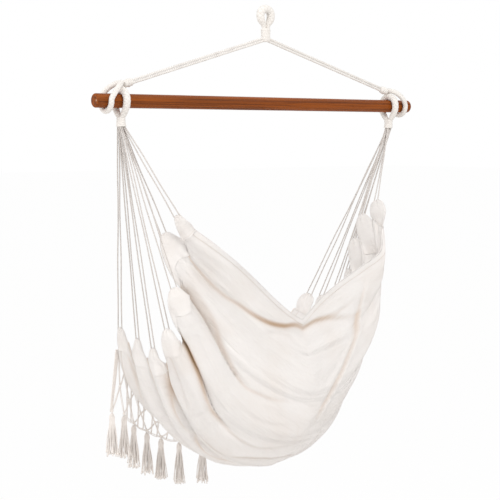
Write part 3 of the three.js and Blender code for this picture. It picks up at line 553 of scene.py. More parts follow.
class Finish(Nodes):
    """Material whose node tree ends in one Principled shader."""

    def __init__(self, name, **values):
        self.material = bpy.data.materials.new(name)
        self.material.use_nodes = True
        super().__init__(self.material.node_tree)
        self.surface = self.tree.nodes["Principled BSDF"]
        for socket, value in values.items():
            self.join(self.surface, socket.replace("_", " "), value)

    def step(self, value, low, high, start=0.0, end=1.0):
        """Value from low to high turned into start to end, smoothly, and held beyond them."""
        options = {"interpolation_type": "SMOOTHSTEP"}
        return self.add("ShaderNodeMapRange", options, value, low, high, start, end).outputs[0]

    def tone(self, share, first, second):
        """Colour that goes from the first to the second with the share."""
        node = self.add("ShaderNodeMix", {"data_type": "RGBA"}, share)
        self.join(node, 6, first)
        self.join(node, 7, second)
        return node.outputs[2]

    def stretched(self, place, stretch):
        """Coordinates stretched by three factors."""
        return self.add("ShaderNodeMapping", {}, place, Scale=stretch).outputs[0]

    def place(self, stretch=(1, 1, 1)):
        """Object coordinates, stretched by three factors."""
        return self.stretched(self.add("ShaderNodeTexCoord", {}).outputs["Object"], stretch)

    def noise(self, place, scale, detail=3.0, roughness=0.5):
        """Cloudy noise from 0 to 1."""
        return self.add("ShaderNodeTexNoise", {}, Vector=place, Scale=scale, Detail=detail,
                        Roughness=roughness).outputs[0]

    def attribute(self, name):
        """Number kept on the points of a piece."""
        return self.add("ShaderNodeAttribute", {"attribute_name": name}).outputs["Fac"]

    def marks(self):
        """The piece's own marks as two numbers: round or across it, and along it in metres."""
        node = self.add("ShaderNodeUVMap", {"uv_map": "marks"})
        parts = self.add("ShaderNodeSeparateXYZ", {}, node.outputs[0])
        return parts.outputs[0], parts.outputs[1]

    def bump(self, height, distance, below=None):
        """Bumps of a height from 0 to 1 times a distance in metres, over those below."""
        node = self.add("ShaderNodeBump", {}, Height=height, Distance=distance)
        if below is not None:
            self.tree.links.new(below, node.inputs["Normal"])
        return node.outputs[0]

    def finish(self, colour, normal, roughness=None):
        """Joins colour, bumps and roughness to the surface."""
        for value, socket in ((colour, "Base Color"), (normal, "Normal"), (roughness, "Roughness")):
            if value is not None:
                self.tree.links.new(value, self.surface.inputs[socket])
        return self.material


class ChairSizes(bpy.types.PropertyGroup):
    """Sizes of the chair's finer forms"""

    bar_edge: FloatProperty(
        name="Bar Edge", description="Radius of the eased edges at the bar's ends",
        default=0.004, min=0.0005, unit="LENGTH")
    plug_diameter: FloatProperty(
        name="Plug Diameter", description="Diameter of the plug in each end of the bar",
        default=0.005, min=0.001, unit="LENGTH")
    braid_pitch: FloatProperty(
        name="Braid Pitch", description="Length of one plait along the thick ropes",
        default=0.0085, min=0.002, unit="LENGTH")
    leg_lay: FloatProperty(
        name="Hanging Cord Lay",
        description="Length in which a hanging cord's strand goes once about",
        default=0.021, min=0.004, unit="LENGTH")
    cord_lay: FloatProperty(
        name="Clew Cord Lay", description="Length in which a clew cord's strand goes once about",
        default=0.0125, min=0.003, unit="LENGTH")
    cloth_thickness: FloatProperty(
        name="Cloth Thickness", description="Thickness of the canvas",
        default=0.0022, min=0.0005, unit="LENGTH")
    hem_width: FloatProperty(
        name="Hem Width", description="Width of the turned hems along the canvas",
        default=0.016, min=0.004, unit="LENGTH")
    pleat_height: FloatProperty(
        name="Pleat Height", description="How far the round lobes behind the tabs stand out",
        default=0.030, min=0.0, unit="LENGTH")
    fold_share: FloatProperty(
        name="Fold Strength", description="Share of their full depth that the folds have",
        default=1.0, min=0.0, max=2.0, subtype="FACTOR")
    tab_puff: FloatProperty(
        name="Tab Fullness", description="Thickness of the fullest of the rolled tabs",
        default=0.018, min=0.004, unit="LENGTH")
    strand_diameter: FloatProperty(
        name="Tassel Strand", description="Thickness of one cut cord of a tassel",
        default=0.0027, min=0.0005, unit="LENGTH")
    strand_count: IntProperty(
        name="Tassel Strands", description="Number of cut cords in one tassel",
        default=28, min=6)
    floor_drop: FloatProperty(
        name="Floor Drop", description="Distance from the hook down to the floor",
        default=1.75, min=1.25, unit="LENGTH")


COLOUR = {"size": 4, "min": 0, "max": 1, "subtype": "COLOR"}


class ChairColours(bpy.types.PropertyGroup):
    """Colours of the chair's finishes and its stage"""

    wood: FloatVectorProperty(
        name="Wood", description="Stained wood between its streaks",
        default=paint(0x8A450B), **COLOUR)
    grain: FloatVectorProperty(
        name="Grain", description="Dark streaks of the wood",
        default=paint(0x532608), **COLOUR)
    plug: FloatVectorProperty(
        name="Plug", description="Pale wood of the end plugs",
        default=paint(0xC79A78), **COLOUR)
    rope: FloatVectorProperty(
        name="Rope", description="Cotton of the ropes and hanging cords",
        default=paint(0xF0ECE7), **COLOUR)
    # Painted shade between the ropes' strands
    rope_shade: FloatVectorProperty(
        name="Rope Shade", description="Cotton deep between the ropes' strands",
        default=paint(0xCFC6BE), **COLOUR)
    # Painted shade: the thin cords are white cotton, made greyer all over for the shade they hang
    # in
    cord: FloatVectorProperty(
        name="Cord", description="Greyer cotton of the thin cords",
        default=paint(0xDDD7D2), **COLOUR)
    # Painted shade between the cords' strands, also on the hanging cords
    cord_shade: FloatVectorProperty(
        name="Cord Shade", description="Cotton deep between the cords' strands",
        default=paint(0xA59A95), **COLOUR)
    canvas: FloatVectorProperty(
        name="Canvas", description="Natural cotton canvas",
        default=paint(0xF7F3F0), **COLOUR)
    # Painted shade in the canvas's folds, a light brown
    fold_shade: FloatVectorProperty(
        name="Crease", description="Canvas deep in its folds",
        default=paint(0xC9A580), **COLOUR)
    fringe: FloatVectorProperty(
        name="Fringe", description="Cotton cord of the fringe",
        default=paint(0xFAF4EF), **COLOUR)
    # Painted shade between the fringe's strands
    fringe_shade: FloatVectorProperty(
        name="Fringe Shade", description="Deep between the fringe's strands",
        default=paint(0xE3D9D1), **COLOUR)
    floor: FloatVectorProperty(
        name="Floor", description="Plain pale floor",
        default=paint(0xF4F2F0), **COLOUR)


def shaded(colour, factor):
    """Colour made darker, or up to white lighter, by a factor."""
    return tuple(min(1.0, factor * c) for c in colour[:3]) + (1.0,)


def wood_finish(colours):
    """Stained wood: long streaks along the bar in two sizes over a slow change of tone, fine pores,
    and a satin varnish."""
    name = "stained_wood_grain"
    if name in bpy.data.materials:
        return bpy.data.materials[name]
    wood = Finish(name, Specular_IOR_Level=0.2, Coat_Weight=0.03, Coat_Roughness=0.3)
    broad = wood.noise(wood.place((1.4, 90, 90)), 1.6, 4, 0.55)
    fine = wood.noise(wood.place((3.2, 420, 420)), 1.4, 5, 0.6)
    pores = wood.noise(wood.place((28, 1500, 1500)), 1.0, 2, 0.5)
    streak = wood.sum("ADD", wood.step(broad, 0.42, 0.66, 0, 0.6),
                      wood.step(fine, 0.46, 0.7, 0, 0.55))
    pore = wood.step(pores, 0.6, 0.72)
    dark = wood.sum("MINIMUM", wood.sum("ADD", streak, wood.sum("MULTIPLY", pore, 0.35)), 1.0)
    cloud = wood.noise(wood.place((4, 9, 9)), 1.3, 2)
    base = wood.tone(cloud, shaded(colours.wood, 1.3), colours.wood)
    colour = wood.tone(dark, base, colours.grain)
    rough = wood.step(fine, 0.3, 0.7, 0.46, 0.6)
    return wood.finish(colour, wood.bump(wood.sum("MULTIPLY", dark, -1.0), 0.0003), rough)


def plug_finish(colours):
    """Pale end grain: small specks of a darker tone."""
    name = "pale_end_grain"
    if name in bpy.data.materials:
        return bpy.data.materials[name]
    plug = Finish(name, Roughness=0.6)
    specks = plug.noise(plug.place((300, 900, 900)), 1.0, 3)
    colour = plug.tone(plug.step(specks, 0.4, 0.7), colours.plug, shaded(colours.plug, 0.55))
    return plug.finish(colour, plug.bump(specks, 0.0002))


# Cottons: colour, colour of the painted shade between the strands, and the share of that shade in
# the deepest places
COTTONS = {
    "white_cotton_rope": ("rope", "rope_shade", 0.42),
    # Hanging cords: white, with painted grey shade between the strands
    "white_cotton_cord": ("rope", "cord_shade", 0.6),
    # Clew cords: white cotton painted greyer all over as shade
    "grey_cotton_cord": ("cord", "cord_shade", 0.5),
    "loose_cotton_fringe": ("fringe", "fringe_shade", 0.45),
}


def cotton_finish(name, colours):
    """Spun cotton: painted shade darkens the tone between the strands, fibres run slantwise along
    each one, and a soft sheen stands for its fuzz."""
    if name in bpy.data.materials:
        return bpy.data.materials[name]
    bright, shade, depth = COTTONS[name]
    cotton = Finish(name, Roughness=0.92, Specular_IOR_Level=0.2, Sheen_Weight=0.25,
                    Sheen_Roughness=0.6)
    around, along = cotton.marks()
    hollow = cotton.attribute("hollow")
    twist = cotton.sum("ADD", cotton.sum("MULTIPLY", around, 26.0),
                       cotton.sum("MULTIPLY", along, 2600.0))
    fibres = cotton.sum("SINE", twist)
    cloud = cotton.noise(cotton.place(), 420.0, 3, 0.6)
    mottle = cotton.noise(cotton.place(), 34.0, 2, 0.5)
    # Painted shade between the strands, over a random mottle of the cotton
    deep = cotton.sum("MULTIPLY", cotton.step(hollow, 0.2, 0.95), depth)
    worn = cotton.sum("MULTIPLY", cotton.step(mottle, 0.45, 0.75), 0.16)
    share = cotton.sum("MINIMUM", cotton.sum("ADD", deep, worn), 1.0)
    normal = cotton.bump(fibres, 0.00012)
    normal = cotton.bump(cloud, 0.0004, normal)
    colour = cotton.tone(share, getattr(colours, bright), getattr(colours, shade))
    return cotton.finish(colour, normal)


def canvas_finish(colours):
    """Natural canvas: plain weave of two crossed waves, slubs along the threads, soft wrinkles, a
    brownish painted shade in the folds that turns brown where they are deepest, and a row of
    stitches along the hems."""
    name = "natural_canvas"
    if name in bpy.data.materials:
        return bpy.data.materials[name]
    cloth = Finish(name, Roughness=0.88, Specular_IOR_Level=0.22, Sheen_Weight=0.2,
                   Sheen_Roughness=0.5)
    across, along = cloth.marks()
    hem = cloth.attribute("hem")
    hollow = cloth.attribute("hollow")
    warp = cloth.sum("SINE", cloth.sum("MULTIPLY", across, 2 * math.pi / THREAD_PITCH))
    weft = cloth.sum("SINE", cloth.sum("MULTIPLY", along, 2 * math.pi / THREAD_PITCH))
    weave = cloth.sum("MULTIPLY", warp, weft)
    flat = cloth.add("ShaderNodeCombineXYZ", {}, across, along, 0.0).outputs[0]
    slubs = cloth.noise(cloth.stretched(flat, (22, 420, 1)), 1.0, 3, 0.6)
    nubs = cloth.noise(cloth.stretched(flat, (420, 22, 1)), 1.0, 3, 0.6)
    wrinkle = cloth.noise(cloth.stretched(flat, (7, 30, 1)), 1.0, 3, 0.55)
    patch = cloth.noise(cloth.place(), 9.0, 2, 0.5)
    stitch_row = cloth.sum("ABSOLUTE", cloth.sum("SUBTRACT", hem, STITCH_INSET))
    in_row = cloth.step(stitch_row, 0.0004, 0.0011, 1, 0)
    wave = cloth.sum("SINE", cloth.sum("MULTIPLY", across, 2 * math.pi / STITCH_PITCH))
    stitches = cloth.sum("MULTIPLY", in_row, cloth.step(wave, -0.5, 0.1))
    slub = cloth.sum("ADD", cloth.step(slubs, 0.55, 0.8, 0, 0.1),
                     cloth.step(nubs, 0.55, 0.8, 0, 0.1))
    # Painted fold shade, plus slubs, patches and the stitch row, which are the canvas's own tone
    toned = cloth.sum("ADD", cloth.step(hollow, 0.05, 1.0), slub)
    toned = cloth.sum("ADD", toned, cloth.step(patch, 0.4, 0.75, 0, 0.08))
    toned = cloth.sum("MINIMUM", cloth.sum("ADD", toned, cloth.sum("MULTIPLY", in_row, 0.22)), 1.0)
    normal = cloth.bump(wrinkle, 0.0065)
    normal = cloth.bump(weave, 0.00016, normal)
    normal = cloth.bump(cloth.sum("ADD", slubs, nubs), 0.0003, normal)
    normal = cloth.bump(cloth.sum("SUBTRACT", stitches, in_row), 0.0008, normal)
    # Canvas turned towards the painted fold shade
    warm = cloth.tone(toned, colours.canvas, colours.fold_shade)
    # Painted shade turns dark brown in the deepest folds
    deepest = cloth.step(hollow, 0.7, 1.0, 0, 0.8)
    return cloth.finish(cloth.tone(deepest, warm, shaded(colours.fold_shade, 0.4)), normal)


def make_bar(sizes, colours):
    """Bar turned about X: its radius is full between the ends and follows a quarter circle at each
    edge, with a hand-sanded waver of a few hundredths of a millimetre."""
    radius, end, edge = BAR_DIAMETER / 2, BAR_LENGTH / 2, sizes.bar_edge
    turns = np.linspace(0, math.pi / 2, 9)
    corner_r = radius - edge + edge * np.cos(turns)
    corner_x = end - edge + edge * np.sin(turns)
    body_x = np.linspace(-(end - edge), end - edge, 241)[1:-1]
    body_r, pole = np.full(len(body_x), radius), [POLE_RADIUS]
    x = np.concatenate([[-end], -corner_x[::-1], body_x, corner_x, [end]])
    r = np.concatenate([pole, corner_r[::-1], body_r, corner_r, pole])
    r = r - BAR_WAVER * (1 + np.sin(19 * x) * np.cos(47 * x))
    path = np.stack([x, np.zeros_like(x), np.full_like(x, -BAR_DROP)], 1)
    path[1, 0], path[-2, 0] = path[1, 0] + 1e-6, path[-2, 0] - 1e-6
    skin = Skin()
    skin.tube(path, np.repeat(r[:, None], 64, 1), (0, 0, 1))
    skin.build("turned_bar", wood_finish(colours), "spreader_bar", ["spreader_bar"])
    for word, side in SIDES:
        make_plug(word, side, sizes, colours)


def make_plug(word, side, sizes, colours):
    """Plug turned about X: a slightly domed face that stands just proud of the bar's end."""
    radius, end = sizes.plug_diameter / 2, BAR_LENGTH / 2
    width, out = np.transpose(PLUG_OUTLINE)
    x = side * (end + out * radius)
    path = np.stack([x, np.full_like(x, PLUG_OFFSET), np.full_like(x, -BAR_DROP)], 1)
    skin = Skin()
    skin.tube(path, np.repeat(radius * width[:, None], 24, 1), (0, 0, 1))
    skin.build(f"plug_{word}", plug_finish(colours), "spreader_bar",
               [f"end_plug_{word}"])


def looped_rope(half, top, thin, thick, swells, plane):
    """Route and radii of a rope that goes up one side, over the top and down the other: the half
    route is mirrored, and the radius goes from the thin necks through its swells to the full
    thickness."""
    half = np.asarray(half, float)
    other = half[::-1] * (-1, 1)
    flat = np.vstack([half, [top], other])
    points = np.zeros((len(flat), 3))
    points[:, plane], points[:, 2] = flat[:, 0], flat[:, 1]
    radii = np.concatenate([[thin, thin], thick * np.asarray(swells)]) / 2
    radii = np.concatenate([radii, [thick / 2], radii[::-1]])
    path = route(points, 24)
    at = np.linspace(0, len(points) - 1, len(path))
    return path, np.interp(at, np.arange(len(points)), radii)


def eye_path():
    """Middle line and radii of the hanging eye's rope, in the plane of the bar."""
    neck, middle = EYE_NECK_ROPE / 2 + GAP, (EYE_OPENING + EYE_ROPE) / 2
    half = [(neck, BINDING_TOP - EYE_TAIL), (neck, BINDING_TOP)]
    half += [(mix(neck, middle, out), -up * EYE_SLIT)
             for out, up in ((0.25, 0.98), (0.75, 0.66), (1, 0.28))]
    half += [(0.9 * middle, 0.1 * EYE_ROPE), (0.5 * middle, 0.41 * EYE_ROPE)]
    return looped_rope(half, (0, EYE_ROPE / 2), EYE_NECK_ROPE, EYE_ROPE, (0.72, 0.94, 1, 1, 1), 0)


def make_rope(name, node, body, cotton, *form):
    """Piece of a single rope or cord of a given form, which rides on its body and stands for its
    node."""
    skin = Skin()
    skin.cord(*form)
    return skin.build(name, cotton, body, [node])


def make_eye(sizes, colours):
    """Plaited eye, and the binding wound round its neck: a waisted body with a close helix of
    cord."""
    path, radii = eye_path()
    path, radii = evenly(path, PLAIT_STEP, radii)
    white = cotton_finish("white_cotton_rope", colours)
    make_rope("plaited_eye", "hanging_eye", "hanger", white, path, EYE_SWELL * radii, (0, 1, 0), 40,
              lambda turn, at: braided(turn, at, 4, sizes.braid_pitch), PLAIT_GROOVE)
    z = np.linspace(0, 1, 70)
    waist = 1 - 0.08 * np.sin(math.pi * z) - 0.34 * (1 - np.sqrt(1 - np.abs(2 * z - 1) ** 7))
    waist[[0, -1]] = 0.05
    body = np.stack([0 * z, 0 * z, mix(BINDING_TOP, BINDING_BOTTOM, z)], 1)
    make_rope("wound_binding", "eye_binding", "hanger", white, body, BINDING_DIAMETER / 2 * waist,
              (0, 1, 0), 36, lambda turn, at: wound(turn, at, BINDING_PITCH), WINDING_GROOVE)


def knot_place(side):
    """Middle of the knot above one end of the bar."""
    return np.array([side * KNOT_PLACE, 0, RING_TOP - BAR_DROP])


def leg_ends(side, row):
    """Ends of one hanging cord: from inside the binding to the knot above the bar's end."""
    knot = knot_place(side)
    top = np.array([0, 0, BINDING_BOTTOM + LEG_RISE])
    run = unit(knot - top)
    reach = np.linalg.norm(knot - top)
    up = np.array([-side * run[2], 0, side * run[0]]) * row * LEG_SPACING / 2
    return top + run * LEG_ENTRY + up, top + run * (reach - KNOT_LENGTH / 2 - GAP) + up


def make_legs(sizes, colours):
    """Hanging cords: three strands laid together along a straight, tight run."""
    cotton = cotton_finish("white_cotton_cord", colours)
    for word, side in SIDES:
        for place, row in (("upper", 1), ("lower", -1)):
            start, end = leg_ends(side, row)
            path, = evenly(np.stack([start, end]), LEG_STEP)
            name = f"hanging_cord_{word}_{place}"
            piece = make_rope(
                f"laid_{name}", name, "hanger", cotton, path, LEG_CORD / 2, (0, 1, 0), 14,
                lambda turn, at: laid(turn, at, 3, side * sizes.leg_lay), LEG_GROOVE)


def ring_path(side):
    """Middle line of a rope ring: a circle round the bar that rises over the clew eye by a squared
    cosine, and runs from there outboard to its place under the bar."""
    turns = 2 * math.pi * np.arange(RING_POINTS) / RING_POINTS
    upper = np.cos(turns) > 0
    out = dipped(np.where(upper, np.sin(turns), 1), 0.15)
    lift = np.where(upper, np.cos(turns) ** 2, 0)
    radius = mix(BAR_DIAMETER / 2 + RING_ROPE / 2 + 2 * GAP, RING_TOP, lift)
    return np.stack([side * mix(CLEW_PLACE, RING_PLACE, out), radius * np.sin(turns),
                     radius * np.cos(turns) - BAR_DROP], 1)


def make_rings(sizes, colours):
    """Plaited rope rings, and the knots that tie them: a barrel of three fat wraps with slanting
    strands."""
    white = cotton_finish("white_cotton_rope", colours)
    for word, side in SIDES:
        path = ring_path(side)
        around = lengths(np.vstack([path, path[:1]]))[-1]
        pitch = around / (2 * round(around / (2 * sizes.braid_pitch * 0.8)))
        make_rope(f"plaited_ring_{word}", f"rope_ring_{word}", "hanger", white, path, RING_ROPE / 2,
                  (1, 0, 0), 30, lambda turn, at: braided(turn, at, 3, pitch), RING_GROOVE, True)

        start, end = leg_ends(side, 0)
        share = np.linspace(0, 1, 64)
        belly = np.sin(math.pi * share)
        wraps = np.abs(np.sin(3 * math.pi * share)) ** 0.6
        swell = mix(KNOT_END_DIAMETER, KNOT_DIAMETER, mix(wraps, belly, 0.62)) / 2
        swell[[0, -1]] = 0.0006
        barrel = knot_place(side) + unit(end - start) * (KNOT_LENGTH * (share - 0.5))[:, None]

        def strands(turn, at):
            return laid(turn + 2.2 * at / KNOT_LENGTH, 0.0, 5, 1.0) * 0.6 + 0.4 * wraps[:, None]

        make_rope(f"tied_knot_{word}", f"ring_knot_{word}", "hanger", white, barrel, swell,
                  (0, 1, 0), 40, strands, RING_GROOVE)


def clew_path(side):
    """Middle line and radii of a clew eye, in the plane square to the bar."""
    around = BAR_DIAMETER / 2 + GAP + CLEW_ROPE / 2
    neck = CLEW_NECK_ROPE / 2 + GAP
    straight = mix(WRAP_TOP_DROP, WRAP_BOTTOM_DROP, 0.14)
    half = [(neck, -CLEW_STRAND_DROP), (neck, -straight), (0.45 * around, -1.22 * around)]
    for turn, out in ((0.74, 1.09), (0.6, 1.03), (0.42, 1.02), (0.22, 1.02)):
        half.append((out * around * math.sin(math.pi * turn),
                     out * around * math.cos(math.pi * turn)))
    top, swells = (0, 1.02 * around), (0.84, 0.95, 1, 1, 1)
    path, radii = looped_rope(half, top, CLEW_NECK_ROPE, CLEW_ROPE, swells, 1)
    return path + (side * CLEW_PLACE, 0, -BAR_DROP), radii


def make_clews(sizes, colours):
    """Plaited clew eyes over the bar, and their wraps: oval rings down the neck with a close
    helix."""
    white = cotton_finish("white_cotton_rope", colours)
    at, *widths = np.transpose(WRAP_OUTLINE)
    for word, side in SIDES:
        path, radii = clew_path(side)
        path, radii = evenly(path, PLAIT_STEP, radii)
        make_rope(f"plaited_clew_{word}", f"clew_eye_{word}", "seat", white, path, radii,
                  (1, 0, 0), 36, lambda turn, at: braided(turn, at, 4, sizes.braid_pitch),
                  PLAIT_GROOVE)

        share = np.linspace(0, 1, 60)
        half = [np.interp(share, at, width) * WRAP_WIDTH / 2 for width in widths]
        lean = 0.03 * WRAP_WIDTH * smooth(0.5, 1, share)
        drop = mix(WRAP_TOP_DROP, WRAP_BOTTOM_DROP, share)
        body = np.stack([side * (CLEW_PLACE - lean), 0 * share, -drop - BAR_DROP], 1)
        turn = (np.arange(40) / 40)[None]
        oval = 1 / np.hypot(np.cos(2 * math.pi * turn) / half[0][:, None],
                            np.sin(2 * math.pi * turn) / half[1][:, None])
        height = wound(turn, (drop - drop[0])[:, None], WRAP_PITCH)
        oval = oval * (1 - WINDING_GROOVE * (1 - height))
        oval[[0, -1]] *= 0.35
        wrap = Skin()
        # Painted shade between the wound turns
        wrap.tube(body, oval, (0, 1, 0), 1 - height)
        wrap.build(f"wound_wrap_{word}", white, "seat", [f"clew_wrap_{word}"])


def tip_line(side, v):
    """Reach and drop of the line through one end's tab tips."""
    knots = np.concatenate([[0], TAB_PLACES, [1]])

    def ends(values):
        before = mix(values[0], values[1], -RUN_ON_SHARES[0])
        after = mix(values[-1], values[-2], -RUN_ON_SHARES[1])
        return np.concatenate([[before], values, [after]])

    reaches = ends(np.array(TIP_REACH_SHARES[side]) * TAB_REACH)
    drops = ends(TAB_TOP_DROP + np.array(TIP_DROP_SHARES[side]) * (TAB_LOW_DROP - TAB_TOP_DROP))
    return through(knots, reaches, v), through(knots, drops, v)


def tips(left, v):
    """Reach and drop of the tips' line, at the left end where left is true and otherwise at the
    right end."""
    return [np.where(left, one, other) for one, other in zip(tip_line(1, v), tip_line(-1, v))]


def sling(u, v):
    """Point of the sling: u runs from the right tips (-1) to the left tips (+1), v from the back
    hem (0) to the front hem (1). Each row hangs from the middle line to the tips by a quarter of a
    cosine, which turns to straight lines with a round dip at the back hem, and bellies out on the
    right."""
    u, v = np.broadcast_arrays(np.asarray(u, float), np.asarray(v, float))
    left, out = u >= 0, np.abs(u)
    back = np.maximum(0, 1 - v / BACK_SHARE)
    round_out, hang = np.sin(math.pi / 2 * out), 1 - np.cos(math.pi / 2 * out)
    rise = mix(hang, dipped(out, DIP_ROUND_SHARE), back)
    belly = smooth(*BELLY_SHARES[:2], v) * (1 - smooth(*BELLY_SHARES[2:], v))
    front = smooth(FRONT_SHARE, 1, v)
    x_left = mix(round_out, out, back)
    x_right = mix(mix(round_out, round_out ** RIGHT_BACK_POWER, back), out, front)
    x = np.where(left, x_left, x_right)
    rise = np.where(left, rise, mix(mix(rise, out ** RIGHT_BELLY_POWER, belly), out, front))
    tip_reach, tip_drop = tips(left, v)
    drops = [HEM_DROP + share * (SEAT_DROP - HEM_DROP) for share in MIDDLE_DROP_SHARES]
    drops.append(FRONT_DROP)
    reaches = [share * (BELLY_REACH if share > 0 else FRONT_REACH) for share in MIDDLE_REACH_SHARES]
    knots = np.concatenate([[0], np.cumsum(np.hypot(np.diff(drops), np.diff(reaches)))])
    reach, drop = (through(knots, values, v * knots[-1]) for values in (reaches, drops))
    middle_x = -DIP_SHIFT * np.maximum(0, 1 - v / DIP_SHARE)
    return np.stack([mix(middle_x, np.where(left, HALF_SPAN, -HALF_SPAN), x),
                     mix(reach, tip_reach, rise), -mix(drop, tip_drop, rise) - BAR_DROP], -1)


def hung(u, v):
    """Sling as the cloth hangs in the photograph: its back hem is drawn to a line with a sharp dip,
    straight to the left tips and straight, then steep, to the right ones, and this change fades out
    down the cloth."""
    u, v = np.broadcast_arrays(np.asarray(u, float), np.asarray(v, float))
    left, out = u >= 0, np.abs(u)
    at, along, up, bulge = np.array(HEM_SHARES).T
    bulge = HEM_BULGE * np.where(left, 0, through(at, bulge, out))
    along = np.where(left, out, through(at, along, out))
    up = np.where(left, dipped(out, HEM_ROUND_SHARE), through(at, up, out))
    tip_reach, tip_drop = tips(left, 0)
    line = np.stack([mix(-HEM_DIP, np.where(left, HALF_SPAN, -HALF_SPAN), along),
                     mix(MIDDLE_REACH_SHARES[0] * BELLY_REACH, tip_reach, up) + bulge,
                     -mix(HEM_DROP, tip_drop, up) - BAR_DROP], -1)
    fade = 1 - smooth(0, HEM_FADE_SHARE, v)
    return sling(u, v) + fade[..., None] * (line - sling(u, 0))


def outward(u, v, base=sling):
    """Unit normal of the sling, away from the sitter, from points a small step apart."""
    step = 0.004
    across = base(np.clip(u + step, -1, 1), v) - base(np.clip(u - step, -1, 1), v)
    along = base(u, np.clip(v + step, 0, 1)) - base(u, np.clip(v - step, 0, 1))
    return unit(np.cross(across, along))


def from_tab(v):
    """Distance from the nearest tab line, from -0.5 to 0.5 of the pitch between tabs."""
    place = (v - TAB_PLACES[0]) / TAB_PITCH
    return np.clip(place - np.round(np.clip(place, 0, TAB_COUNT - 1)), -0.5, 0.5)


def parted(u, v):
    """Place across the lobes, with the valleys of the left ones moved to their shares of the pitch;
    the move dies away towards the tabs."""
    place = (v - TAB_PLACES[0]) / TAB_PITCH
    gap = np.clip(np.floor(place), 0, TAB_COUNT - 2).astype(int)
    share = place - gap
    near, inner = np.array(VALLEY_SHARES)[gap][..., 0], np.array(VALLEY_SHARES)[gap][..., 1]
    moved = (u >= 0) * (1 - smooth(0.78, 0.9, u))
    valley = mix(0.5, mix(inner, near, smooth(0.42, 0.72, u)), moved)
    share = np.where(share < valley, 0.5 * share / valley, 1 - 0.5 * (1 - share) / (1 - valley))
    inside = (place > 0) & (place < TAB_COUNT - 1)
    return TAB_PLACES[0] + TAB_PITCH * np.where(inside, gap + share, place)


def pleats(u, v, height, shares=SWELL_SHARES, place=None, power=2, floor=-2):
    """Lobes behind the tabs: half circles, or flatter arches at a higher power, across each tab
    line, drawn in away from the back hem, that swell from the middle towards the tabs and fall no
    lower than the floor; with two long grooves that run on across the cloth."""
    out = np.abs(u)
    begin, full, fade, last = shares
    arch = np.sqrt(np.maximum(1 - np.abs(2 * from_tab(v if place is None else place)) ** power, 0))
    lobe = np.maximum(arch - mix(0.35, 1.05, smooth(0.05, 0.45, v)), floor)
    swell = smooth(begin, full, out) * (1 - smooth(fade, last, out))
    hem_fold = 0.035 + 0.075 * smooth(0, fade, np.abs(u + 0.05))
    low_fold = 0.66 - 0.16 * smooth(0, fade, out)
    grooves = np.exp(-((v - hem_fold) / 0.02) ** 2) + np.exp(-((v - low_fold) / 0.025) ** 2)
    return height * lobe * swell, 0.012 * (1 - smooth(fade, last, out)) * grooves


def fold_field(points, fold):
    """Signed distance from a fold's line, plus on the left of its way as seen from outside, then
    the share of its length and how far beyond its ends: the line is a cubic through its points, and
    the distance is square to the line at the nearest sample."""
    fold = np.asarray(fold)
    steps = np.hypot(np.diff(fold[:, 0]) * 0.45, np.diff(fold[:, 1]))
    knots = np.concatenate([[0], np.cumsum(steps)])
    t = np.linspace(0, knots[-1], 90)
    u, v = (np.clip(through(knots, fold[:, k], t), -1, 1) for k in (0, 1))
    line = hung(u, v)
    tangent = unit(np.gradient(line, axis=0))
    aside = unit(np.cross(outward(u, v, hung), tangent))
    best, nearest = np.full(points.shape[:-1], np.inf), np.zeros(points.shape[:-1], int)
    for i in range(len(line)):
        far = np.linalg.norm(points - line[i], axis=-1)
        nearest = np.where(far < best, i, nearest)
        best = np.minimum(far, best)
    away = points - line[nearest]
    beyond = np.sum(away * tangent[nearest], -1)
    square = np.linalg.norm(away - beyond[..., None] * tangent[nearest], axis=-1)
    sign = np.sign(np.sum(away * aside[nearest], -1))
    past = np.where((nearest == 0) | (nearest == len(line) - 1), np.abs(beyond), 0)
    return sign * square, nearest / (len(line) - 1), past


def creases(points, strength):
    """Folds of the hung cloth: on each side of its line a fold rises or sinks by a bell curve, with
    a quick change across the line. It dies away at both ends, and a bell curve along it says where
    it is strongest. Gives the height, and the painted shade: a dark line along the fold and a
    shadow on its sunken side."""
    height, tone = np.zeros(points.shape[:-1]), np.zeros(points.shape[:-1])
    for fold, form in zip(FOLDS, FOLD_FORMS):
        rise, rise_width, sink, sink_width, toned, strongest, reach, rest = form
        away, share, past = fold_field(points, fold)
        taper = smooth(0, 0.2, share) * (1 - smooth(0.75, 1, share)) * np.exp(-(past / 0.01) ** 2)
        taper = taper * mix(rest, 1, np.exp(-((share - strongest) / reach) ** 2))
        above = rise * np.exp(-(away / rise_width) ** 2)
        below = sink * np.exp(-(away / sink_width) ** 2)
        height += taper * mix(below, above, smooth(-0.005, 0.005, away))
        # Painted shade: a dark line along the fold, and a shadow on its sunken side
        line = 0.55 * np.exp(-(away / 0.0054) ** 2)
        shadow = 0.45 * np.exp(-(away / (1.2 * sink_width)) ** 2)
        line = line + shadow * (1 - smooth(-0.006, 0.004, away))
        tone += taper * toned * line
    return strength * height, np.clip(tone, 0, 1)


def drapes(u, v):
    """Shallow soft folds: sums of slow waves across the cloth whose phase slides along it, stronger
    near the tabs, so that no two run alike."""
    out = np.abs(u)
    side = np.where(u >= 0, 1.0, 1.7)
    one = np.sin(2 * math.pi * (5.3 * v + 0.8 * np.sin(2.1 * u + side)) + 3.1 * side)
    two = np.sin(2 * math.pi * (11.7 * v + 0.9 * u + 0.35 * np.sin(5 * u)) + 1.3 * side)
    three = np.sin(2 * math.pi * (19.3 * v - 1.7 * u) + 4.0 * side + 2 * np.sin(7 * v))
    near = smooth(0.1, 0.9, out)
    return 0.0016 * one + (0.0006 + 0.0012 * near) * two + 0.0009 * near * three


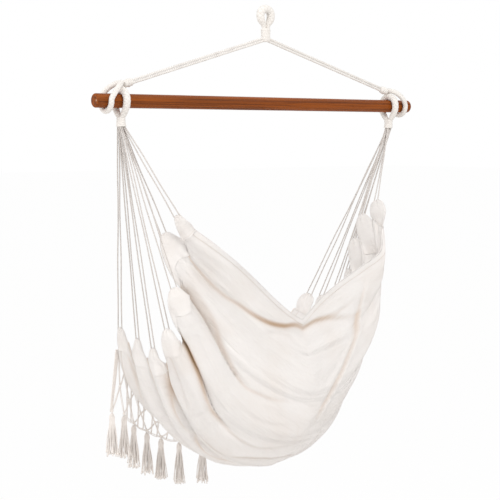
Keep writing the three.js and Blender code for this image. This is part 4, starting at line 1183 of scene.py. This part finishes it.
def cloth_end(side, v, notches=SCALLOPS):
    """Share from the middle to the tips at which the cloth ends: square across each tab, and in
    between by a notch's share further out or in."""
    place = np.clip(np.round((v - TAB_PLACES[0]) / TAB_PITCH), 0, TAB_COUNT - 1).astype(int)
    centre = TAB_PLACES[place]
    valley = smooth(PLEAT_SIDE_SHARE, 0.5, np.abs(v - centre) / TAB_PITCH)
    out = sling(side, centre) - sling(side * SEAM_SHARE, centre)
    per_share = np.linalg.norm(out, axis=-1) / (1 - SEAM_SHARE)
    low, high = np.maximum(centre - 0.25 * TAB_PITCH, 0), np.minimum(centre + 0.25 * TAB_PITCH, 1)
    around = sling(side * SEAM_SHARE, high) - sling(side * SEAM_SHARE, low)
    slant = -np.sum(around * unit(out), -1) / (high - low) / per_share
    notch = np.array(notches)[place + (v > centre)]
    return SEAM_SHARE + slant * (v - centre) * (1 - valley) + notch * valley


def spread(t, v, left_notches=SCALLOPS, right_notches=SCALLOPS):
    """Place u on the sling for t from -1 at the cloth's right end to 1 at its left end, by a power
    of t that sets points closer together towards the ends."""
    ends = np.where(t >= 0, cloth_end(1, v, left_notches), cloth_end(-1, v, right_notches))
    return np.sign(t) * np.abs(t) ** SPREAD_POWER * ends


def frame_point(u, v):
    """Middle of the solid cloth, from which the tabs' places are taken."""
    lobes, grooves = pleats(u, v, FRAME_PLEAT)
    return sling(u, v) + outward(u, v) * (lobes - grooves)[..., None]


def cloth_surface(u, v, sizes):
    """Middle of the finished cloth, its outward normal, and the painted shade of each point in the
    folds and in the valleys between the lobes.
    """
    base = hung(u, v)
    corner = smooth(*CORNER_SHARES, -u)[..., None]
    normal = unit(mix(outward(u, v, hung), outward(u, v), corner))
    place = parted(u, v)
    power = np.where((u >= 0) & (place < TAB_PLACES[0] + TAB_PITCH / 2), STRIP_POWER, 2)
    floor = np.where((u >= 0) & (place < TAB_PLACES[1]), STRIP_FLOOR, -2)
    lobes, grooves = pleats(u, v, sizes.pleat_height, LOBE_SHARES, place, power, floor)
    lobes = lobes * np.where(u < 0, smooth(0, 0.14, v), 1)
    folds, tone = creases(base, sizes.fold_share)
    height = lobes - 0.2 * grooves + folds + drapes(u, v)
    # Painted shade in the valleys between the lobes near the tabs, less on the right
    valley = np.abs(2 * from_tab(place)) ** 9 * smooth(0.5, 0.85, np.abs(u))
    valley = valley * np.where(u < 0, 0.2, 0.55)
    return base + normal * height[..., None], normal, np.clip(tone + valley, 0, 1)


def make_canvas(sizes, colours):
    """Canvas sling: two faces of one grid, half the cloth's thickness either side of its middle,
    joined round the rim. The hems are thicker, as a double turn is."""
    columns, rows = CLOTH_COLUMNS, CLOTH_ROWS
    v = np.linspace(0, 1, rows)[None]
    u = spread(np.linspace(-1, 1, columns)[:, None], v, NOTCH_SHARES[1], NOTCH_SHARES[-1])
    v = np.broadcast_to(v, u.shape)
    middle, normal, deep = cloth_surface(u, v, sizes)
    steps = np.linalg.norm(np.diff(middle, axis=0, prepend=middle[:1]), axis=-1)
    across = np.cumsum(steps, axis=0)
    steps = np.linalg.norm(np.diff(middle, axis=1, prepend=middle[:, :1]), axis=-1)
    along = np.cumsum(steps, axis=1)
    hem = np.minimum(along, along[:, -1:] - along)
    thick = sizes.cloth_thickness / 2 * (1 + 0.4 * (1 - smooth(0.7, 1.0, hem / sizes.hem_width)))
    skin = Skin()
    # The inner face takes 0.6 of the painted fold shade
    for face, order, shade in ((1, slice(None), 1), (-1, slice(None, None, -1), 0.6)):
        points = middle + face * normal * thick[..., None]
        skin.grid(points[order], shade * deep[order], np.zeros(columns), np.zeros(rows))
    index = np.arange(columns * rows).reshape(columns, rows)
    other = index[::-1] + columns * rows
    rims = [(near[:, 0], near[-1, :], near[::-1, -1], near[0, ::-1]) for near in (index, other)]
    for one, two in zip(*rims):
        skin.faces.append(np.stack([one[:-1], two[:-1], two[1:], one[1:]], 1)[:, ::-1])
    mark = np.stack([across, along], -1)
    marks = np.concatenate([mark.reshape(-1, 2), mark[::-1].reshape(-1, 2)])
    skin.marks = [marks[faces] for faces in skin.faces]
    piece = skin.build("woven_canvas", canvas_finish(colours), "seat", ["canvas_seat"])
    keep(piece.data, "hem", [hem, hem[::-1]])
    kept = [f"sewn_tab_{word}_{k + 1}" for word, _ in SIDES for k in range(TAB_COUNT)]
    kept += ["knotted_net"] + [f"tied_tassel_{k + 1:02d}" for k in range(TASSEL_COUNT)]


def tab_frame(side, k):
    """Tip of a tab, the way it points, the way across it, whether that runs on from hem to hem (1)
    or back (-1), and the way out through its face."""
    v = TAB_PLACES[k]

    def end(at):
        return frame_point(side * cloth_end(side, np.array(at)), np.array(at))

    tip = sling(side, v)
    axis = tip - end(v)
    axis = axis / np.linalg.norm(axis)
    low, high = (np.clip(v + way * PLEAT_SIDE_SHARE * TAB_PITCH, 0, 1) for way in (-1, 1))
    across = end(high) - end(low)
    across = unit(across - axis * np.dot(across, axis))
    way = 1.0 if across[1] <= 0 else -1.0
    across = across * way
    face = unit(np.cross(axis, across))
    if np.dot(face, outward(np.array(float(side)), np.array(v))) < 0:
        face = -face
    return {"tip": tip, "axis": axis, "across": across, "face": face, "way": way}


def cord_starts(side, k):
    """Where a tab's two runs leave the wrap: rows sorted by the slope at which they hang."""
    def slope(n):
        tip = sling(side, TAB_PLACES[n])
        return tip[1] / (tip[2] + BAR_DROP + WRAP_BOTTOM_DROP)

    inboard = k < BACK_TAB_COUNT
    rows = sorted((n for n in range(TAB_COUNT) if (n < BACK_TAB_COUNT) == inboard), key=slope)
    y = ((len(rows) - 1) / 2 - rows.index(k)) * CORD_PITCH
    x = (-1 if inboard else 1) * CORD_PITCH
    z = -(WRAP_BOTTOM_DROP - WRAP_CUP_DEPTH + 4 * GAP) - BAR_DROP
    return [np.array([side * (CLEW_PLACE + x + share * CORD_PITCH), y, z]) for share in (0.5, -0.5)]


def clew_cord_path(side, k, tab):
    """Doubled cord of one tab: down from the wrap, round a half circle inside the tab, and back up,
    with a slight wander between wrap and tab."""
    radius = CORD_LOOP_WIDTH / 2
    centre = tab["tip"] + tab["axis"] * (radius - CORD_LOOP_DEPTH)
    turns = math.pi * np.arange(5)[:, None] / 4
    bend = centre + radius * (tab["across"] * np.cos(turns) - tab["axis"] * np.sin(turns))
    edges = [bend[i] + tab["axis"] * (CORD_LOOP_DEPTH - radius) for i in (0, -1)]
    starts = cord_starts(side, k)
    leads = [edge + CORD_LEAD * unit(start - edge) for edge, start in zip(edges, starts)]
    corner = route(np.vstack([leads[0], edges[0], bend, edges[1], leads[1]]), 6)
    share = np.linspace(0, 1, 60)[:, None]
    runs = []
    for n in (0, 1):
        wander = np.sin(math.pi * share) * np.sin((5 + n + k) * share + 2.1 * k + 3 * n)
        runs.append(mix(starts[n], leads[n], share) + CORD_WANDER * wander * tab["across"])
    path, = evenly(np.vstack([runs[0][:-1], corner, runs[1][::-1][1:]]), CORD_STEP)
    return path


def make_clew_cords(sizes, colours):
    """Clew cords: three strands laid together along each doubled run."""
    # White cotton cords, painted greyer as shade
    cotton = cotton_finish("grey_cotton_cord", colours)
    for word, side in SIDES:
        for k in range(TAB_COUNT):
            tab = tab_frame(side, k)
            path = clew_cord_path(side, k, tab)
            name = f"clew_cord_{word}_{k + 1}"
            piece = make_rope(
                f"laid_{name}", name, "seat", cotton, path, CLEW_CORD / 2, tab["face"], 9,
                lambda turn, at: laid(turn, at, 3, sizes.cord_lay), CORD_GROOVE)


def tab_root(side, k, cosine, sine, sizes):
    """First ring of a tab: a thin shell half the cloth's thickness either side of its middle, which
    laps the end of the cloth. Also the cloth's way on from there, and the middle of the root."""
    centre = TAB_PLACES[k]
    low, high = (np.clip(centre + way * TAB_ROOT_SHARE * TAB_PITCH, 0, 1) for way in (-1, 1))
    v = mix(low, high, (cosine + 1) / 2)
    reach = np.linalg.norm(hung(side, centre) - hung(side * SEAM_SHARE, centre)) / (1 - SEAM_SHARE)
    u = side * (cloth_end(side, v, np.minimum(NOTCH_SHARES[side], 0)) - TAB_LAP / reach)
    middle, normal, _ = cloth_surface(u, v, sizes)
    shell = sizes.cloth_thickness / 2 * np.sign(sine) * np.abs(sine) ** 0.2
    onward = unit(middle - cloth_surface(u - side * 0.012, v, sizes)[0])
    return middle + normal * shell[:, None], onward, middle[np.argmin(np.abs(v - (low + high) / 2))]


def tab_rings(side, k, sizes):
    """Rings of one tab, the painted shade in its gathers and, at the right end, round its root, and
    each ring's distance from the cloth. Rings run on from the root's shell and turn into a padded
    oval that tapers to the tip by the root of a power; gathers run along it as a sine round it.
    They are stored in the order that turns the faces outwards."""
    turn = 2 * math.pi * np.arange(TAB_SIDES) / TAB_SIDES
    cosine, sine = np.cos(turn), np.sin(turn)
    tab = tab_frame(side, k)
    first, onward, root = tab_root(side, k, cosine, sine, sizes)
    axis = tab["tip"] - root
    length = np.linalg.norm(axis)
    axis = axis / length
    across = unit(tab["across"] - axis * np.dot(tab["across"], axis))
    face = unit(np.cross(axis, across))
    face = face if np.dot(face, tab["face"]) > 0 else -face
    share = np.linspace(0, 1, TAB_RINGS) ** 0.9
    out = length * share
    nose = 1 - np.clip((share - 0.5) / 0.5, 0, 1) ** TAB_NOSE_POWER
    tip = TAB_WIDTH / 2 * TAB_TIP_SHARES[side][k]
    wide = max(np.linalg.norm(first[0] - first[TAB_SIDES // 2]) / 2, tip)
    width = mix(wide, tip, smooth(0, 0.85, share)) * np.sqrt(np.maximum(nose, 0.0008))
    full = sizes.tab_puff / 2 * TAB_FULL_SHARES[side][k]
    puff = full * mix(0.5, 1, smooth(0, 0.6, share)) * np.sqrt(np.maximum(nose, 0.002))
    ripple = np.sin(9 * cosine + 1.7 * k)[None]
    tipward = smooth(0.4, 1, share)
    gather = (0.0006 + 0.0008 * (k > 3)) * ripple * (0.2 + 0.8 * tipward)[:, None]
    flat = (np.sign(sine) * np.abs(sine) ** 0.8)[None] * puff[:, None]
    flat = flat + np.sign(sine)[None] * gather * (np.abs(sine)[None] ** 0.5)
    tongue = (root + axis * out[:, None, None]
              + across * (tab["way"] * cosine[None] * width[:, None])[..., None]
              + face * flat[..., None])
    heading = mix(onward[None], axis, smooth(0, 0.5, share)[:, None, None])
    start = first[None] + heading * out[:, None, None]
    points = mix(start, tongue, smooth(*TAB_TURN_SHARES[side], share)[:, None, None])
    # Painted shade in the troughs of the gathers, and round the roots of the right end's tabs
    hollow = 0.2 * (0.5 - 0.5 * ripple) * tipward[:, None]
    hollow = hollow + (0.2 if side < 0 else 0) * (1 - smooth(0, 0.45, share))[:, None]
    inward = np.dot(np.cross(axis, across * tab["way"]), face)
    order = slice(None) if inward < 0 else slice(None, None, -1)
    return points[order], hollow[order], out[order]


def make_tabs(sizes, colours):
    """Rolled tabs, each the end of its lobe; a stitched hem runs round the first one's root."""
    for word, side in SIDES:
        for k in range(TAB_COUNT):
            points, hollow, out = tab_rings(side, k, sizes)
            skin = Skin()
            skin.grid(points, hollow, out, np.arange(TAB_SIDES + 1) * 0.002, (False, True))
            skin.close(0, TAB_RINGS, TAB_SIDES)
            name = f"tab_{word}_{k + 1}"
            piece = skin.build(f"sewn_{name}", canvas_finish(colours), "seat", [name])
            hem = np.abs(out - 0.006) + STITCH_INSET if k == 0 else out + 1
            keep(piece.data, "hem", [np.broadcast_to(hem[:, None], points.shape[:2])])


def hem_line(outset):
    """Line just outside the front hem, from left to right."""
    t = np.linspace(1, -1, 161)
    v = np.ones_like(t)
    u = spread(t, v)
    edge, inner = frame_point(u, v), frame_point(u, v - 0.02)
    return edge + unit(edge - inner) * (NET_CORD / 2 + 2 * GAP + outset)


def fringe_nodes():
    """Tops on the hem, knots between them, and the knots above the tassels' heads."""
    hem = hem_line(NET_HANG_SHARE * NET_CORD)
    at = lengths(hem)
    middle = (TASSEL_COUNT - 1) // 2
    heads = []
    for k in range(TASSEL_COUNT):
        low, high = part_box(f"tassel_{k + 1:02d}")
        heads.append(((low.x + high.x) / 2, (low.y + high.y) / 2, high.z + NET_KNOT / 2 + GAP))
    heads = np.array(heads)
    shares = (1 + NET_END_SHARE * (np.arange(TASSEL_COUNT) - middle) / middle) / 2
    tops = np.stack([np.interp(shares * at[-1], at, hem[:, axis]) for axis in range(3)], 1)
    knots = (tops[:-1] + tops[1:] + heads[:-1] + heads[1:]) / 4
    return tops, knots, heads


def net_cord(skin, start, end, radius, slack, turn):
    """Doubled cord between two knots: two strands side by side that part a little and sag halfway
    by a sine."""
    share = np.linspace(0, 1, 15)[:, None]
    run = unit(end - start)
    aside = unit(np.cross(run, (0.3, -1.0, 0.2)))
    bow = np.sin(math.pi * share)
    for way in (-1, 1):
        swing = bow * (0.4 + 0.6 * math.sin(2.3 * turn + way))
        path = mix(start, end, share) + aside * way * (1.05 * radius + 0.0012 * swing)
        path = path - np.array([0, 0, 1]) * slack * bow
        path, = evenly(path, NET_STEP)
        skin.cord(path, radius, (0.3, -1, 0.2), 6, lambda t, at: laid(t, at, 2, NET_LAY),
                  NET_GROOVE)


def net_knot(skin, at, turn):
    """Small knot: a ball with a few slanting wraps."""
    share = np.linspace(0, 1, 13)
    radius = NET_KNOT / 2 * np.sqrt(np.maximum(1 - (2 * share - 1) ** 2, 0.01))
    tilt = unit(np.array([math.sin(turn), math.cos(1.7 * turn), 1.6]))
    path = at + tilt * (NET_KNOT * 0.5 * (2 * share - 1))[:, None]
    skin.cord(path, radius, (0.2, 1, 0), 12, lambda t, d: wound(t, d, NET_KNOT / 3), 0.25)


def make_net(sizes, colours):
    """Fringe net: a laid heading cord along the hem, doubled cords from knot to knot in open
    meshes, a second line from head to head with rungs to the hem, and a bundle of cords down to
    each end's tassel."""
    tops, knots, heads = fringe_nodes()
    skin = Skin()
    line, = evenly(hem_line(0), NET_STEP)
    skin.cord(line, NET_CORD / 2, (0, 1, 0.2), 9,
              lambda turn, at: laid(turn, at, 3, HEADING_LAY), HEADING_GROOVE)
    radius = NET_CORD / 4
    for k in range(TASSEL_COUNT - 1):
        for start, end in ((tops[k], knots[k]), (tops[k + 1], knots[k]),
                           (knots[k], heads[k]), (knots[k], heads[k + 1])):
            net_cord(skin, start, end, radius, 0.0025, k + start[0] * 40)
        net_knot(skin, knots[k], k)
    for k in range(TASSEL_COUNT):
        net_knot(skin, heads[k], k + 0.5)
    for k in range(1, TASSEL_COUNT - 2):
        net_cord(skin, heads[k], heads[k + 1], radius, 0.004, k)
        for share in (0.3, 0.7):
            below = mix(heads[k], heads[k + 1], share) - np.array([0, 0, 0.0034])
            net_cord(skin, mix(tops[k], tops[k + 1], share), below, radius, 0.0, k + share)
    for k, side in ((0, 1), (TASSEL_COUNT - 1, -1)):
        for n in range(6):
            shift = np.array([side * (0.0008 + 0.0017 * n), 0.0012 * (n % 3) - 0.001, 0])
            net_cord(skin, tops[k] + shift, heads[k] + shift * 0.5, radius * 1.15, 0.0, n)
    skin.build("knotted_net", cotton_finish("loose_cotton_fringe", colours), "seat",
               ["fringe_net"])


def strand_path(top, k, n, share, sizes):
    """Middle line of one cut cord of a tassel: it stands off the middle by its own share of the
    outline, sunflower fashion, and waves a little on its way down."""
    turn = GOLDEN_TURN * n + k
    reach = TASSEL_REACH * math.sqrt((n + 0.6) / sizes.strand_count)
    sway = 0.0021 * share * np.sin(5.5 * share + 1.9 * n + k)
    fan = 0.0018 * share * np.cos(8 * share + 2.7 * n)
    length = TASSEL_LENGTH * (0.94 + 0.055 * math.sin(3.1 * n + k))
    full = reach * through(*np.transpose(TASSEL_OUTLINE), share) + 0.0012
    x = full * math.cos(turn) + sway * math.sin(turn) + fan * math.cos(turn) * 0.5
    y = full * math.sin(turn) - sway * math.cos(turn) + fan * math.sin(turn) * 0.5
    return top + np.stack([x, y, -0.001 - length * share], 1)


def make_tassels(sizes, colours):
    """Tassels: cut cords that leave the knot together, run close through the neck's binding and
    flare below it, each ending in a small knot at its own height."""
    _, _, heads = fringe_nodes()
    cotton = cotton_finish("loose_cotton_fringe", colours)
    share = np.linspace(0, 1, STRAND_POINTS)
    leave, knot = smooth(0, 0.1, share), smooth(0.9, 0.96, share)
    radii = sizes.strand_diameter / 2 * (0.55 + 0.45 * leave) * (1 + 0.45 * knot)
    neck = np.linspace(*TASSEL_NECK, STRAND_POINTS)
    edge = np.sin(math.pi * np.linspace(0, 1, STRAND_POINTS)) ** 0.25
    for k in range(TASSEL_COUNT):
        top = heads[k] - (0, 0, NET_KNOT / 2 + GAP)
        skin = Skin()
        for n in range(sizes.strand_count):
            skin.cord(strand_path(top, k, n, share, sizes), radii, (0.1, 1, 0), 6,
                      lambda t, at: laid(t, at, 2, STRAND_LAY), STRAND_GROOVE)
        body = top - np.stack([0 * neck, 0 * neck, neck * TASSEL_LENGTH], 1)
        skin.cord(body, 0.0016 + 0.0046 * edge, (0, 1, 0), 20,
                  lambda t, at: wound(t, at, NECK_PITCH), 0.2)
        name = f"tassel_{k + 1:02d}"
        skin.build(f"tied_{name}", cotton, name, [name])


def stand(name, data, right, back, place):
    """New object at a place, with its X axis to the right and its Z axis to the back, as a camera
    or a lamp has them."""
    matrix = np.eye(4)
    matrix[:3] = np.stack([right, np.cross(back, right), back, place], 1)
    thing = bpy.data.objects.new(name, data)
    thing.matrix_world = Matrix(matrix.tolist())
    bpy.context.scene.collection.objects.link(thing)
    return thing


def make_camera():
    """Camera at the place and with the focal length that the photograph was taken from."""
    lens = bpy.data.cameras.new("camera")
    lens.sensor_width, lens.sensor_fit = SENSOR_WIDTH, "HORIZONTAL"
    lens.lens = FOCAL_PIXELS / PICTURE_PIXELS * SENSOR_WIDTH
    back = np.array([math.sin(CAMERA_YAW) * math.cos(CAMERA_PITCH),
                     math.cos(CAMERA_YAW) * math.cos(CAMERA_PITCH), math.sin(CAMERA_PITCH)])
    right = np.array([-math.cos(CAMERA_YAW), math.sin(CAMERA_YAW), 0])
    bpy.context.scene.camera = stand("camera", lens, right, back, CAMERA_PLACE)


def make_lamp(name, place, target, size, power):
    """Soft square lamp that faces a point."""
    lamp = bpy.data.lights.new(name, "AREA")
    lamp.size, lamp.energy = size, power
    back = unit(np.array(place, float) - np.array(target, float))
    stand(name, lamp, unit(np.cross((0, 0, 1), back)), back, place)


def make_floor(sizes, colours):
    """Plain flat grid: pale to its light and shadow, and nearly white where it is looked at."""
    reach = np.linspace(-FLOOR_REACH, FLOOR_REACH, FLOOR_LINES)
    x, y = np.meshgrid(reach, reach, indexing="ij")
    floor = bpy.data.meshes.new("floor")
    index = np.arange(x.size).reshape(x.shape)
    quads = np.stack([index[:-1, :-1], index[1:, :-1], index[1:, 1:], index[:-1, 1:]], -1)
    quads = quads.reshape(-1, 4)
    points = np.stack([x, y, np.full_like(x, -sizes.floor_drop)], -1).reshape(-1, 3)
    floor.from_pydata(points.tolist(), [], quads.tolist())
    ground = bpy.data.objects.new("floor", floor)
    bpy.context.scene.collection.objects.link(ground)
    finish = Finish("pale_floor", Roughness=0.9, Base_Color=colours.floor)
    share = finish.sum("MULTIPLY", finish.seen(), FLOOR_WHITE_SHARE)
    white = finish.add("ShaderNodeEmission", {}, WHITE, 1.0)
    blend = finish.add("ShaderNodeMixShader", {}, share, finish.surface.outputs[0],
                       white.outputs[0])
    finish.join(finish.tree.nodes["Material Output"], 0, blend.outputs[0])
    floor.materials.append(finish.material)


def make_sky():
    """World that gives soft, even light and is white where it is looked at."""
    world = bpy.data.worlds.new("plain_sky")
    bpy.context.scene.world = world
    world.use_nodes = True
    world.node_tree.nodes.clear()
    sky = Nodes(world.node_tree)
    light = sky.add("ShaderNodeBackground", {}, SKY_COLOUR, SKY_STRENGTH)
    behind = sky.add("ShaderNodeBackground", {}, WHITE, 1.0)
    choose = sky.add("ShaderNodeMixShader", {}, sky.seen(), light.outputs[0], behind.outputs[0])
    sky.add("ShaderNodeOutputWorld", {}, choose.outputs[0])


def make_stage(sizes, colours):
    """Pale floor far below the hung chair, white behind it, and plain soft light."""
    bpy.context.scene.view_settings.view_transform = "Standard"
    make_floor(sizes, colours)
    make_sky()
    for name, (place, target, size, power) in LAMPS.items():
        make_lamp(name, place, target, size, power)


def made(make, context):
    """Makes pieces with the scene's sizes and colours."""
    make(context.scene.chair_sizes, context.scene.chair_colours)
    return {"FINISHED"}


class CHAIR_OT_camera(bpy.types.Operator):
    """Sets the camera where the photograph was taken from"""

    bl_idname = "chair.camera"
    bl_label = "Camera"

    def execute(self, context):
        make_camera()
        return {"FINISHED"}


class CHAIR_OT_hanging_cords(bpy.types.Operator):
    """Lays the four cords that carry the bar"""

    bl_idname = "chair.hanging_cords"
    bl_label = "Hanging Cords"

    def execute(self, context):
        return made(make_legs, context)


class CHAIR_OT_clew_cords(bpy.types.Operator):
    """Lays the doubled cord of each tab"""

    bl_idname = "chair.clew_cords"
    bl_label = "Clew Cords"

    def execute(self, context):
        return made(make_clew_cords, context)


class CHAIR_OT_spreader_bar(bpy.types.Operator):
    """Turns the bar and its end plugs"""

    bl_idname = "chair.spreader_bar"
    bl_label = "Spreader Bar"

    def execute(self, context):
        return made(make_bar, context)


class CHAIR_OT_hanging_eye(bpy.types.Operator):
    """Plaits the eye and winds its binding"""

    bl_idname = "chair.hanging_eye"
    bl_label = "Hanging Eye"

    def execute(self, context):
        return made(make_eye, context)


class CHAIR_OT_rope_rings(bpy.types.Operator):
    """Plaits the rings round the bar and ties their knots"""

    bl_idname = "chair.rope_rings"
    bl_label = "Rope Rings"

    def execute(self, context):
        return made(make_rings, context)


class CHAIR_OT_clews(bpy.types.Operator):
    """Plaits the clew eyes and winds their wraps"""

    bl_idname = "chair.clews"
    bl_label = "Clews"

    def execute(self, context):
        return made(make_clews, context)


class CHAIR_OT_tabs(bpy.types.Operator):
    """Rolls the tabs at the canvas's ends"""

    bl_idname = "chair.tabs"
    bl_label = "Tabs"

    def execute(self, context):
        return made(make_tabs, context)


class CHAIR_OT_fringe_net(bpy.types.Operator):
    """Knots the net along the front hem"""

    bl_idname = "chair.fringe_net"
    bl_label = "Fringe Net"

    def execute(self, context):
        return made(make_net, context)


class CHAIR_OT_tassels(bpy.types.Operator):
    """Ties the tassels"""

    bl_idname = "chair.tassels"
    bl_label = "Tassels"

    def execute(self, context):
        return made(make_tassels, context)


class CHAIR_OT_canvas_seat(bpy.types.Operator):
    """Weaves the sling seat with its folds"""

    bl_idname = "chair.canvas_seat"
    bl_label = "Canvas Seat"

    def execute(self, context):
        return made(make_canvas, context)


class CHAIR_OT_stage(bpy.types.Operator):
    """Sets the floor, the light and the white behind"""

    bl_idname = "chair.stage"
    bl_label = "Stage"

    def execute(self, context):
        return made(make_stage, context)


OPERATORS = (
    CHAIR_OT_camera,
    CHAIR_OT_hanging_cords,
    CHAIR_OT_clew_cords,
    CHAIR_OT_spreader_bar,
    CHAIR_OT_hanging_eye,
    CHAIR_OT_rope_rings,
    CHAIR_OT_clews,
    CHAIR_OT_tabs,
    CHAIR_OT_fringe_net,
    CHAIR_OT_tassels,
    CHAIR_OT_canvas_seat,
    CHAIR_OT_stage,
)


class CHAIR_PT_pieces(bpy.types.Panel):
    """Lists the chair's pieces, sizes and colours"""

    bl_idname = "CHAIR_PT_pieces"
    bl_label = "Hammock Chair"
    bl_space_type = "VIEW_3D"
    bl_region_type = "UI"
    bl_category = "Chair"

    def draw(self, context):
        layout = self.layout
        for operator in OPERATORS:
            layout.operator(operator.bl_idname)
        for group in (context.scene.chair_sizes, context.scene.chair_colours):
            box = layout.box()
            for name in group.__annotations__:
                box.prop(group, name)


CLASSES = (ChairSizes, ChairColours, *OPERATORS, CHAIR_PT_pieces)


def register():
    for one in CLASSES:
        bpy.utils.register_class(one)
    bpy.types.Scene.chair_sizes = PointerProperty(type=ChairSizes)
    bpy.types.Scene.chair_colours = PointerProperty(type=ChairColours)


def unregister():
    del bpy.types.Scene.chair_colours
    del bpy.types.Scene.chair_sizes
    for one in reversed(CLASSES):
        bpy.utils.unregister_class(one)


def main():
    register()
    bpy.ops.chair.camera()
    bpy.ops.chair.hanging_cords()
    bpy.ops.chair.clew_cords()
    bpy.ops.chair.spreader_bar()
    bpy.ops.chair.hanging_eye()
    bpy.ops.chair.rope_rings()
    bpy.ops.chair.clews()
    bpy.ops.chair.tabs()
    bpy.ops.chair.fringe_net()
    bpy.ops.chair.tassels()
    bpy.ops.chair.canvas_seat()
    bpy.ops.chair.stage()


if __name__ == "__main__":
    main()
